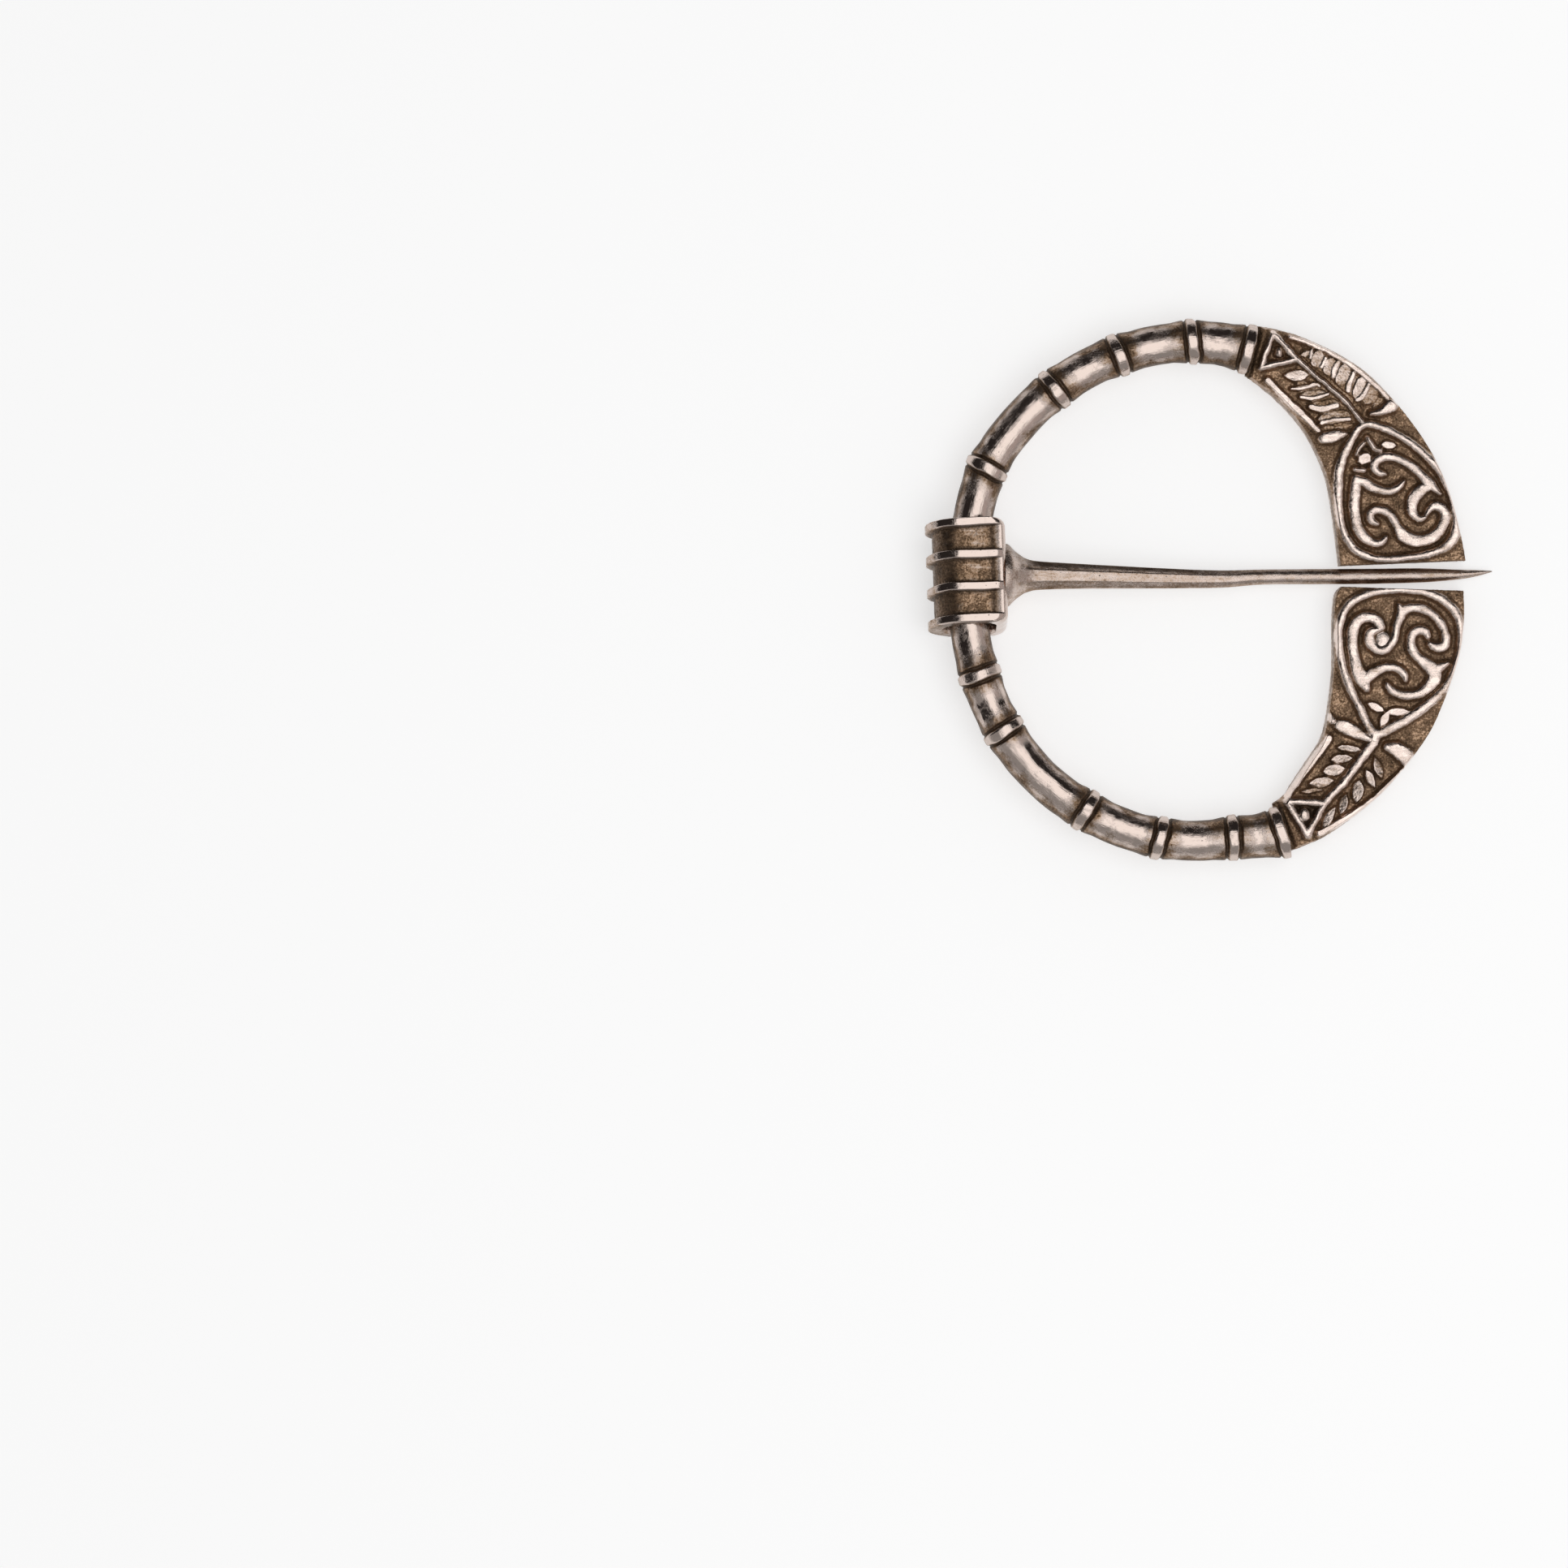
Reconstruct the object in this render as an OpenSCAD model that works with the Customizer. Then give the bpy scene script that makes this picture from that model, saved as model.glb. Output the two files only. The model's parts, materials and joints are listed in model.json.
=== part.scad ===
// Ring brooch with a loose pin, lying face up.
// A banded hoop is open between two flat terminals with raised ornament, and a pin
// with a ribbed head turns round the hoop and passes through the opening.
// Millimetres. +Z is up and +X runs from the pin's head to its point. The origin is on
// the surface that the brooch lies on, under the middle of the brooch.

/* [Hoop] */
// Diameter of the hoop's round wire
tube_d = 3.3; // [3:0.05:3.4]
// Diameter over a raised band
band_d = 3.7; // [3.6:0.05:4.2]
// Length of a raised band along the hoop
band_len = 0.85; // [0.6:0.05:1.2]

/* [Terminals] */
// Thickness of a terminal under its relief
plate_t = 2.2; // [1.8:0.1:2.6]
// Height of the relief above the ground of a terminal
relief_h = 0.5; // [0.3:0.05:0.7]
// How far the upper half of a terminal's edge stands back
edge_inset = 0.15; // [0.1:0.05:0.3]
// Height of the lower half of a terminal's edge
edge_h = 1.2; // [0.8:0.1:1.6]

/* [Pin head] */
// Width of the head across the hoop, over its ribs
head_w = 6.7; // [6.6:0.1:7.2]
// Height of the head, over its ribs
head_h = 5.8; // [5.6:0.1:6]
// Length of the head along the hoop
head_len = 8.6; // [8:0.1:9.4]
// Lean of the ribs and of the head's ends, in degrees
head_lean = 11; // [0:1:12]
// Number of ribs on the head
rib_count = 4; // [3:1:5]
// Width of a rib
rib_w = 0.65; // [0.5:0.05:0.8]
// How far a rib stands out at the head's sides
rib_side = 0.55; // [0.3:0.05:0.6]
// How far a rib stands out above and below
rib_top = 0.25; // [0.2:0.05:0.3]
// Wall of the head above and below the hollow, between the ribs
head_wall = 0.5; // [0.4:0.05:0.5]

/* [Pin shank] */
// Radius of the straight, round stretch of the shank
shank_r = 0.64; // [0.5:0.02:0.66]
// Radius of the collar where the shank leaves the head
collar_r = 2.6; // [2:0.1:2.65]

/* [Hidden] */
$fn = 64;

// Parts that are joined run this far into each other
joint = 0.1;
tube_r = tube_d / 2;
ring_middle = [0.65, -0.1];
// The terminals rest on this line, and the head lifts the other side of the hoop
rest_x = 21.1;
head_middle = [-20.05, 1.05];
// The head's hollow is set off a little, to where the bent wire passes through it
hollow_middle = [-19.9, 1.05];
ring_lean = asin((head_h / 2 - tube_r) / (rest_x - hollow_middle.x));

// The raised bands in order, from the upper terminal round to the lower one.
// Columns: x, y, lean of the band from the radial line in degrees, and how far the
// hoop bows out between this band and the next.
BANDS = [
  [3.05, 19.8, -7, 0.13],
  [-1.55, 20.45, 0, 0.23],
  [-7.6, 19.3, 0, 0.22],
  [-12.85, 16.45, 0, 0.44],
  [-18.4, 9.95, 0, 1.35],
  [-18.95, -6.95, 0, 0.15],
  [-16.95, -11.5, 0, 0.65],
  [-10.25, -18.05, 0, 0.26],
  [-4.2, -20.35, 0, 0.22],
  [1.8, -20.3, 0, 0.1],
  [5.75, -19.9, 5, 0],
];

// Edges of the terminals, each from the hoop to the opening. Columns: x, y.
UPPER_OUTER = [
  [3.5, 21.8], [5.3, 21.5], [7.7, 20.8], [11.2, 19.1], [13.75, 17.15], [16.7, 13.75],
  [18.9, 10.2], [20.25, 6.5], [21.1, 2.45],
];
UPPER_INNER = [
  [2.55, 17.5], [3.7, 16.9], [5.35, 15.8], [7.7, 13.15], [9.4, 9.7], [10.1, 6.3], [10.65, 2],
];
LOWER_OUTER = [
  [6.4, -21.5], [8, -20.9], [10, -19.9], [14.05, -16.8], [17.6, -12.5], [19.3, -9.1],
  [20.6, -5.25], [20.95, -2.3], [20.9, 0],
];
LOWER_INNER = [
  [5.1, -17.5], [6.2, -16.6], [7.8, -14.25], [9.25, -11.9], [9.85, -8.8], [10.1, -6],
  [10.1, -2.6], [10.3, -0.4], [10.8, 0.33],
];

// Raised lines. Columns: x, y, width. A frame closes on itself.
UPPER_FRAME = [
  [12.7, 13.45, 0.4], [11.75, 12.3, 0.45], [10.75, 10.2, 0.5], [10.5, 7.8, 0.5],
  [10.75, 5.3, 0.4], [11.7, 3.5, 0.4], [13.6, 2.6, 0.4], [16, 2.7, 0.35],
  [18.4, 3.1, 0.4], [19.85, 4.1, 0.7], [20.25, 5.6, 0.6], [19.85, 7.75, 0.5],
  [18.4, 10.3, 0.4], [16.2, 12.25, 0.4], [14, 13.4, 0.35],
];
UPPER_LINES = [
  // First arm of the spiral figure
  [
    [14.3, 9.55, 0.12], [13.75, 9.65, 0.35], [13.4, 10.15, 0.45], [13.65, 10.65, 0.45],
    [14.4, 10.95, 0.45], [15.3, 10.85, 0.45], [16.3, 10.3, 0.45], [17.2, 9.6, 0.5],
    [17.95, 8.8, 0.55], [18.4, 8.35, 0.35], [18.8, 7.95, 0.1],
  ],
  [
    [18.1, 8.65, 0.5], [17.3, 8.25, 0.7], [16.7, 7.6, 0.75], [16.5, 6.75, 0.65],
    [16.75, 6.1, 0.45], [17.2, 5.85, 0.35], [17.6, 6, 0.12],
  ],
  // Second arm
  [
    [11.95, 9.1, 0.5], [12.6, 8.9, 0.55], [13.3, 8.45, 0.5], [14.2, 8.15, 0.45],
    [15, 8.25, 0.4], [15.5, 8.55, 0.3], [15.8, 8.9, 0.1],
  ],
  [
    [11.95, 9.1, 0.5], [11.85, 8, 0.65], [11.8, 6.8, 0.65], [11.95, 5.5, 0.65],
    [12.4, 4.6, 0.6], [13.1, 4, 0.5], [13.8, 3.85, 0.4], [14.25, 4.1, 0.2], [14.4, 4.35, 0.1],
  ],
  // Third arm
  [
    [13.65, 5.45, 0.15], [13.2, 5.75, 0.4], [13.1, 6.25, 0.45], [13.5, 6.6, 0.45],
    [14.2, 6.55, 0.4], [14.85, 6.05, 0.45], [15.3, 5.3, 0.5], [15.8, 4.55, 0.8],
    [16.6, 4.15, 0.8], [17.5, 4.1, 0.7], [18.4, 4.5, 0.65], [19.05, 5.3, 0.6],
    [19.3, 6.1, 0.6], [19, 6.75, 0.55], [18.4, 6.9, 0.5], [17.95, 6.6, 0.3], [17.75, 6.3, 0.12],
  ],
  // Stem of the sprig
  [[12.9, 12.5, 0.12], [13.2, 12.2, 0.3], [13.45, 11.75, 0.3], [13.85, 11.55, 0.15]],
  // Spine
  [
    [7.1, 19, 0.3], [8.55, 17.65, 0.25], [10.4, 16.2, 0.25], [11.4, 15.2, 0.25], [12.5, 13.8, 0.3],
  ],
  // Inner and outer border
  [[4.6, 17.2, 0.25], [6.6, 15.35, 0.3], [8.5, 13.3, 0.45]],
  [[6.3, 20.8, 0.25], [9.2, 19.6, 0.4], [11.9, 17.95, 0.4], [14, 15.9, 0.25]],
];
LOWER_FRAME = [
  [13.5, -11.7, 0.45], [15, -11.2, 0.5], [17, -10, 0.5], [19.2, -8.1, 0.4],
  [20.25, -6, 0.35], [20.6, -3.6, 0.35], [20.1, -1.8, 0.4], [18.7, -0.55, 0.4],
  [16.8, 0, 0.35], [14.7, 0, 0.35], [12.6, -0.4, 0.35], [11.1, -1.5, 0.35],
  [10.5, -3.4, 0.4], [10.7, -5.6, 0.4], [11.4, -7.9, 0.4], [12.4, -9.9, 0.4],
];
LOWER_LINES = [
  // First arm of the spiral figure
  [
    [14, -3, 0.35], [13.65, -2.45, 0.5], [12.95, -2.2, 0.55], [12.2, -2.4, 0.55],
    [11.75, -3.1, 0.6], [11.6, -4.2, 0.55], [11.75, -5.3, 0.55], [12, -6.3, 0.65],
    [12.35, -7.2, 0.85], [12.8, -8.05, 0.25],
  ],
  [
    [12.5, -7.4, 0.8], [13.3, -6.8, 0.6], [14.05, -6.4, 0.45], [14.85, -6.3, 0.4],
    [15.5, -6.55, 0.4], [15.9, -7, 0.3], [16, -7.35, 0.12],
  ],
  // Second arm, with the small ring
  [
    [13.75, -3.2, 0.15], [13.15, -3.5, 0.4], [13, -4.05, 0.55], [13.4, -4.7, 0.5],
    [14.1, -4.95, 0.4], [14.75, -4.55, 0.35], [15.1, -3.9, 0.35], [15.25, -3.1, 0.35],
    [15.5, -2.3, 0.45], [15.8, -1.7, 0.5], [16.6, -1.4, 0.4], [17.6, -1.6, 0.45],
    [18.5, -2.2, 0.4], [19.05, -2.95, 0.4], [19.3, -3.75, 0.4], [19.25, -4.4, 0.5],
    [18.85, -4.7, 0.45], [18.35, -4.6, 0.3], [18, -4.4, 0.12],
  ],
  [[15.5, -1.25, 0.15], [15.7, -1.7, 0.5], [15.55, -2.3, 0.4]],
  // Third arm
  [
    [17.85, -3.8, 0.15], [17.65, -3.4, 0.35], [17.15, -3.25, 0.4], [16.65, -3.5, 0.4],
    [16.45, -4.05, 0.4], [16.55, -4.8, 0.5], [17, -5.45, 0.5], [17.6, -5.95, 0.6],
    [18.3, -6.5, 0.8], [18.4, -7.2, 0.8], [18.05, -7.8, 0.6], [17.45, -8.3, 0.5],
    [16.7, -8.6, 0.4], [15.85, -8.6, 0.4], [15.05, -8.35, 0.35], [14.65, -7.95, 0.25],
    [14.5, -7.7, 0.12],
  ],
  [[18.2, -6.6, 0.7], [18.9, -6.3, 0.4], [19.4, -6.05, 0.12]],
  // Stem of the sprig
  [[14.1, -9.8, 0.2], [14.35, -10.2, 0.2]],
  // Spine
  [[9.4, -17.4, 0.35], [10.8, -15.9, 0.4], [12.1, -14.2, 0.45], [13.5, -12.2, 0.7], [13.6, -11.5, 0.5]],
  // Inner and outer border
  [[6.2, -16.85, 0.2], [7.95, -14.7, 0.3], [9.6, -12.3, 0.45]],
  [[9.9, -19.85, 0.2], [11.7, -18.8, 0.25], [13.3, -17.4, 0.25], [14.5, -16.15, 0.25], [15.5, -14.9, 0.2]],
];

// Corners of the small triangle of each terminal, its line's width and its dot's radius
UPPER_TRIANGLE = [[5.05, 21.1], [4.1, 18.25], [7.05, 18.95]];
LOWER_TRIANGLE = [[6.25, -17.35], [9.4, -17.45], [7.8, -20.25]];
triangle_line = 0.35;
dot_r = 0.22;

// Leaves of the two rows, leaves of the sprig, and lobes beside the frame's tip.
// Columns: x, y, length, width, angle in degrees.
UPPER_LEAVES = [
  [6.98, 17.6, 1.9, 0.7, 3], [7.8, 16.7, 2.2, 0.45, 5], [8.55, 15.95, 2.2, 0.65, 6],
  [9.4, 15.05, 2.3, 0.7, 8], [10.15, 14.1, 2.5, 0.75, 8],
  [7.8, 19.4, 1, 0.55, 50], [8.75, 18.85, 1.5, 0.7, 54], [9.75, 18.2, 1.7, 0.8, 57],
  [10.8, 17.5, 1.9, 0.8, 58], [11.9, 16.65, 2.1, 0.85, 59], [13.05, 15.85, 1.9, 0.8, 55],
  [14.7, 11.95, 1.2, 0.45, -10], [12.6, 10.8, 1.1, 0.62, 18],
  [10, 12.55, 2, 0.9, 6], [14.2, 14.8, 1.9, 0.75, 22],
];
LOWER_LEAVES = [
  [11.3, -12.98, 1.8, 0.42, -4], [10.75, -13.82, 1.7, 0.56, 4], [10.15, -14.75, 1.75, 0.75, 8],
  [9.08, -15.72, 1.8, 0.65, 8], [8.3, -16.47, 1.5, 0.35, 6],
  [13.8, -14.52, 1.75, 0.6, -70], [13.15, -15.4, 1.6, 0.55, -69], [12.03, -16.5, 1.8, 0.72, 72],
  [10.88, -17.4, 1.6, 0.56, 80], [9.63, -18.55, 2, 0.52, 63],
  [13.5, -9.45, 1.3, 0.45, -28], [15.55, -9.97, 1.45, 0.46, -6], [14.3, -10.6, 1.2, 0.55, 62],
  [11.5, -11.5, 2.7, 0.85, -28], [15.8, -13.2, 2, 1.1, -20],
];

// Each stretch of the shank starts this much thinner than the last one ends
shank_step = 0.02;
// The shank's middle line from the collar to the point. Columns: x, y, z, radius.
SHANK = [
  [-13.9, 1.2, 2.6, 1.25], [-10.5, 1.15, 2.4, 1.1], [-4, 1, 2, 0.9], [0.9, 0.95, 1.72, 0.76],
  [4.5, 1.12, 1.5, shank_r + shank_step], [13.5, 1.2, 0.97, shank_r], [17.5, 1.28, 0.74, 0.6],
  [20.5, 1.35, 0.6, 0.42], [22.2, 1.48, 0.55, 0.25], [23.4, 1.62, 0.5, 0.08],
];
// The collar's outline round its middle line. Columns: distance from the head
// as a share of the collar's length, radius as a share of collar_r.
COLLAR = [[0, 1], [0.08, 0.94], [0.2, 0.76], [0.38, 0.62], [0.65, 0.54], [1, 0.49]];

// A smooth curve through rows of numbers, with steps points between neighbours
function blend_rows(a, b, c, d, t) =
  0.5 * (2 * b + (c - a) * t + (2 * a - 5 * b + 4 * c - d) * t * t + (3 * b - a - 3 * c + d) * t * t * t);
function row_at(rows, i) = rows[max(0, min(len(rows) - 1, i))];
function smooth(rows, steps) = [
  for (i = [0:len(rows) - 2], s = [0:steps - 1])
    blend_rows(row_at(rows, i - 1), rows[i], rows[i + 1], row_at(rows, i + 2), s / steps),
  rows[len(rows) - 1],
];
function smooth_loop(rows, steps) = [
  let (n = len(rows))
    for (i = [0:n - 1], s = [0:steps - 1])
      blend_rows(rows[(i + n - 1) % n], rows[i], rows[(i + 1) % n], rows[(i + 2) % n], s / steps),
];
function backwards(list) = [for (i = [len(list) - 1:-1:0]) list[i]];
function flat(row) = [row.x, row.y];
function left_of(v) = [-v.y, v.x] / norm(v);

// The two edges of a line of changing width
function line_edge(rows, side) = [
  for (i = [0:len(rows) - 1])
    flat(rows[i]) + side * rows[i][2] / 2 * left_of(flat(row_at(rows, i + 1) - row_at(rows, i - 1))),
];
function loop_edge(rows, side) = [
  let (n = len(rows))
    for (i = [0:n - 1])
      flat(rows[i]) + side * rows[i][2] / 2 * left_of(flat(rows[(i + 1) % n] - rows[(i + n - 1) % n])),
];

// A rectangle about the middle with round corners, of one radius on the left and another on the right
function corner(x, y, r, from, steps) = [
  for (s = [0:steps]) [x + r * cos(from + 90 * s / steps), y + r * sin(from + 90 * s / steps)],
];
function wrap_outline(w, h, r_left, r_right, steps) = concat(
  corner(w / 2 - r_right, h / 2 - r_right, r_right, 0, steps),
  corner(-w / 2 + r_left, h / 2 - r_left, r_left, 90, steps),
  corner(-w / 2 + r_left, -h / 2 + r_left, r_left, 180, steps),
  corner(w / 2 - r_right, -h / 2 + r_right, r_right, 270, steps)
);

module relief_line(rows) {
  line = smooth(rows, 3);
  polygon(concat(line_edge(line, 1), backwards(line_edge(line, -1))));
}

module relief_frame(rows) {
  line = smooth_loop(rows, 4);
  difference() {
    polygon(loop_edge(line, -1));
    polygon(loop_edge(line, 1));
  }
}

module relief_triangle(corners) {
  middle = (corners[0] + corners[1] + corners[2]) / 3;
  for (i = [0:2])
    relief_line([concat(corners[i], triangle_line), concat(corners[(i + 1) % 3], triangle_line)]);
  translate(middle)
    circle(r = dot_r, $fn = 12);
}

// A leaf with two pointed ends
module relief_leaf(row) {
  tip = row[2] / 2;
  side = row[3] / 2;
  translate(flat(row))
    rotate(row[4])
      polygon([
        [tip, 0], [tip * 0.6, side * 0.75], [0, side], [-tip * 0.6, side * 0.75],
        [-tip, 0], [-tip * 0.6, -side * 0.75], [0, -side], [tip * 0.6, -side * 0.75],
      ]);
}

module relief(frame, lines, leaves, triangle) {
  relief_frame(frame);
  for (rows = lines) relief_line(rows);
  for (row = leaves) relief_leaf(row);
  relief_triangle(triangle);
}

module terminal_outline(outer, inner) {
  polygon(concat(smooth(outer, 4), backwards(smooth(inner, 4))));
}

// A terminal: a plate whose upper half stands back, with its relief joined on as one layer
module terminal(outer, inner, frame, lines, leaves, triangle) {
  linear_extrude(edge_h)
    terminal_outline(outer, inner);
  linear_extrude(plate_t)
    offset(delta = -edge_inset)
      terminal_outline(outer, inner);
  translate([0, 0, plate_t - joint])
    linear_extrude(relief_h + joint)
      intersection() {
        offset(delta = -edge_inset)
          terminal_outline(outer, inner);
        offset(delta = 0.01)
          relief(frame, lines, leaves, triangle);
      }
}

// One stretch of the hoop between two bands, an arc that bows out by the first row's rise.
// It ends just inside each band, whose solid disc joins it to the next stretch.
module hoop_arc(a, b) {
  chord = flat(b) - flat(a);
  rise = a[3];
  bend_r = chord * chord / (8 * rise) + rise / 2;
  middle = (flat(a) + flat(b)) / 2 + left_of(chord) * (bend_r - rise);
  spoke = flat(a) - middle;
  short = joint / bend_r * 180 / PI;
  translate([middle.x, middle.y, tube_r])
    rotate([0, 0, atan2(spoke.y, spoke.x) + short])
      rotate_extrude(angle = 2 * asin(norm(chord) / 2 / bend_r) - 2 * short)
        translate([bend_r, 0])
          circle(r = tube_r);
}

module band(row) {
  spoke = flat(row) - ring_middle;
  translate([row.x, row.y, tube_r])
    rotate([0, 0, atan2(spoke.y, spoke.x) + row[2]])
      rotate([90, 0, 0])
        cylinder(d = band_d, h = band_len, center = true);
}

module ring() {
  color("#b3a69e")
    translate([rest_x, 0, 0])
      rotate([0, ring_lean, 0])
        translate([-rest_x, 0, 0]) {
          for (i = [0:len(BANDS) - 2]) hoop_arc(BANDS[i], BANDS[i + 1]);
          for (row = BANDS) band(row);
          terminal(UPPER_OUTER, UPPER_INNER, UPPER_FRAME, UPPER_LINES, UPPER_LEAVES, UPPER_TRIANGLE);
          terminal(LOWER_OUTER, LOWER_INNER, LOWER_FRAME, LOWER_LINES, LOWER_LEAVES, LOWER_TRIANGLE);
        }
}

// A stretch of the head between two leaning planes, whose places are given along the hoop.
// Its outline, given as a flat shape, runs straight along the hoop.
module head_stretch(from, to) {
  translate([head_middle.x, head_middle.y, head_h / 2])
    intersection() {
      rotate([90, 0, 0])
        linear_extrude(2 * head_len, center = true)
          children();
      rotate([-head_lean, 0, 0])
        translate([-head_w, from * cos(head_lean), -head_h])
          cube([2 * head_w, (to - from) * cos(head_lean), 2 * head_h]);
    }
}

module head() {
  half = head_len / 2;
  panel_w = head_w - 2 * rib_side;
  panel_h = head_h - 2 * rib_top;
  pitch = (head_len - rib_w) / (rib_count - 1);
  difference() {
    union() {
      head_stretch(-half, half)
        polygon(wrap_outline(panel_w, panel_h, panel_h / 2, 1, 8));
      for (i = [0:rib_count - 1])
        head_stretch(-half + i * pitch, -half + i * pitch + rib_w)
          polygon(wrap_outline(head_w, head_h, head_h / 2, 1, 8));
      // The bar that closes the ribs on the shank's side
      head_stretch(-half, half)
        intersection() {
          polygon(wrap_outline(head_w, head_h, head_h / 2, 1, 8));
          translate([head_w / 2 - rib_side - joint, -head_h / 2])
            square([rib_side + joint, head_h]);
        }
    }
    // The hollow that the hoop passes through
    translate([hollow_middle.x, hollow_middle.y, head_h / 2])
      rotate([90, 0, 0])
        linear_extrude(2 * head_len, center = true)
          polygon(wrap_outline(
            panel_w - 2 * head_wall, panel_h - 2 * head_wall, panel_h / 2 - head_wall, 1, 8
          ));
  }
}

// A round stretch of the shank between two rows, which starts inside the one before it
module shank_stretch(a, b) {
  from = [a[0], a[1], a[2]];
  along = [b[0], b[1], b[2]] - from;
  reach = norm(along);
  translate(from - along * joint / reach)
    rotate([0, acos(along.z / reach), atan2(along.y, along.x)])
      cylinder(r1 = a[3] - shank_step, r2 = b[3], h = reach + joint);
}

module collar() {
  root = [head_middle.x + head_w / 2 - joint, SHANK[0][1], head_h / 2];
  along = [SHANK[0][0], SHANK[0][1], SHANK[0][2]] - root;
  collar_len = norm(along);
  translate(root)
    rotate([0, acos(along.z / collar_len), 0])
      rotate_extrude()
        polygon(concat(
          [[0, collar_len], [0, 0]],
          [for (row = COLLAR) [row[1] * collar_r, row[0] * collar_len]]
        ));
}

module pin() {
  color("#a89a92") {
    head();
    collar();
    for (i = [0:len(SHANK) - 2]) shank_stretch(SHANK[i], SHANK[i + 1]);
  }
}

ring();
pin();
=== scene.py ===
"""Looks of a ring brooch: a banded hoop, two terminals with raised ornament, and a loose pin."""
import sys
import json
import logging
import math
from dataclasses import dataclass, field
from enum import Enum
from typing import Union

import bmesh
import bpy
import numpy as np
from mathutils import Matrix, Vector, noise


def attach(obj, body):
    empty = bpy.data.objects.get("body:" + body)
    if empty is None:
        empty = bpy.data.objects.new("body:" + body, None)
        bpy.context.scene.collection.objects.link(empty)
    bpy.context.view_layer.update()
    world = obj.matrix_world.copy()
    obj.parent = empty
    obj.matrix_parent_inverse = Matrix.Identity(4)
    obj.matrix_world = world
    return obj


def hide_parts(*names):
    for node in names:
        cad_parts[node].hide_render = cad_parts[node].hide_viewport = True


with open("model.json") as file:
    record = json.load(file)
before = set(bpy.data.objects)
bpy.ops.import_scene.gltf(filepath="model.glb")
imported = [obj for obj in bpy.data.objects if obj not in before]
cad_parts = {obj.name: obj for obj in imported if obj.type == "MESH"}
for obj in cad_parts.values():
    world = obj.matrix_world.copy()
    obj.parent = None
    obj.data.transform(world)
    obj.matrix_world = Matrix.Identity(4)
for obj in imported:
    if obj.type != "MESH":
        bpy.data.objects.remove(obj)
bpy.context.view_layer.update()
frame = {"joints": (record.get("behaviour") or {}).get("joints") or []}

MM = 0.001
UP = (0.0, 0.0, 1.0)
ASIDE = (0.0, 1.0, 0.0)
log = logging.getLogger("brooch")

Rows = tuple[tuple[float, ...], ...]
Colour = tuple[float, float, float]
Socket = bpy.types.NodeSocket
Value = Union["Wire", float, int, bool, str, tuple]


class Body(Enum):
    """The moving bodies of the brooch."""

    RING = "ring"
    PIN = "pin"


class Slot(Enum):
    """The record's material slots."""

    RING = "ring_silver"
    PIN = "pin_silver"


# Curves, in millimetres


def catmull(a: np.ndarray, b: np.ndarray, c: np.ndarray, d: np.ndarray, t: float) -> np.ndarray:
    """A point between the second and the third of four rows, on the smooth curve through them.

    Args:
        a: The first row.
        b: The second row.
        c: The third row.
        d: The fourth row.
        t: How far the point is on its way from b to c, from 0 to 1.

    Returns:
        The point's row.
    """
    return 0.5 * (
        2 * b + (c - a) * t + (2 * a - 5 * b + 4 * c - d) * t**2 + (3 * b - a - 3 * c + d) * t**3
    )


def smooth(rows: Rows, steps: int, closed: bool = False) -> np.ndarray:
    """Runs a smooth curve through rows of numbers.

    Args:
        rows: The rows that the curve passes through.
        steps: Points from each row to the next.
        closed: Whether the last row leads back to the first.

    Returns:
        The curve's rows, of which a closed curve repeats none.
    """
    table = np.array(rows, float)
    count = len(table)
    last = count if closed else count - 1

    def row(i: int) -> np.ndarray:
        """The row at a place, which may lie past either end."""
        return table[i % count] if closed else table[min(max(i, 0), count - 1)]

    points = [
        catmull(row(i - 1), row(i), row(i + 1), row(i + 2), s / steps)
        for i in range(last)
        for s in range(steps)
    ]
    return np.array(points if closed else points + [table[-1]])


def unit(vector: np.ndarray) -> np.ndarray:
    """The vector with length 1."""
    return vector / np.linalg.norm(vector)


def lengths_along(points: np.ndarray) -> np.ndarray:
    """The distance from a line's first point to each of its points."""
    return np.concatenate([[0.0], np.cumsum(np.linalg.norm(np.diff(points, axis=0), axis=1))])


def spread(points: np.ndarray, places: np.ndarray) -> np.ndarray:
    """Takes the points of a line at the given shares of its length.

    Args:
        points: The line's points, a row each.
        places: Shares of the length, from 0 to 1.

    Returns:
        A row of the line's columns for each place.
    """
    run = lengths_along(points[:, :2] if points.shape[1] > 2 else points)
    return np.column_stack([np.interp(places * run[-1], run, column) for column in points.T])


def ease(low: float, high: float, value: np.ndarray) -> np.ndarray:
    """Rises smoothly from 0 at low to 1 at high."""
    t = np.clip((value - low) / (high - low), 0, 1)
    return t * t * (3 - 2 * t)


def wobble(points: np.ndarray, size: float, seed: float) -> np.ndarray:
    """Gives soft noise from about -1 to 1 at points.

    Args:
        points: Flat points in millimetres.
        size: How far apart the noise's hills lie.
        seed: Shifts the noise to another place.

    Returns:
        One value for each point.
    """
    return np.array([noise.noise((x / size, y / size, seed)) for x, y in points])


# Meshes and node trees


def place_object(name: str, data: bpy.types.ID) -> bpy.types.Object:
    """Puts data in the scene as an object at the origin.

    Args:
        name: The object's name.
        data: A mesh, a light or a camera.

    Returns:
        The new object.
    """
    made = bpy.data.objects.new(name, data)
    bpy.context.scene.collection.objects.link(made)
    return made


def net_faces(number: np.ndarray) -> list[list[int]]:
    """The four-sided faces of a net of numbered points."""
    corners = number[:-1, :-1], number[1:, :-1], number[1:, 1:], number[:-1, 1:]
    return np.stack(corners, axis=-1).reshape(-1, 4).tolist()


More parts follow.
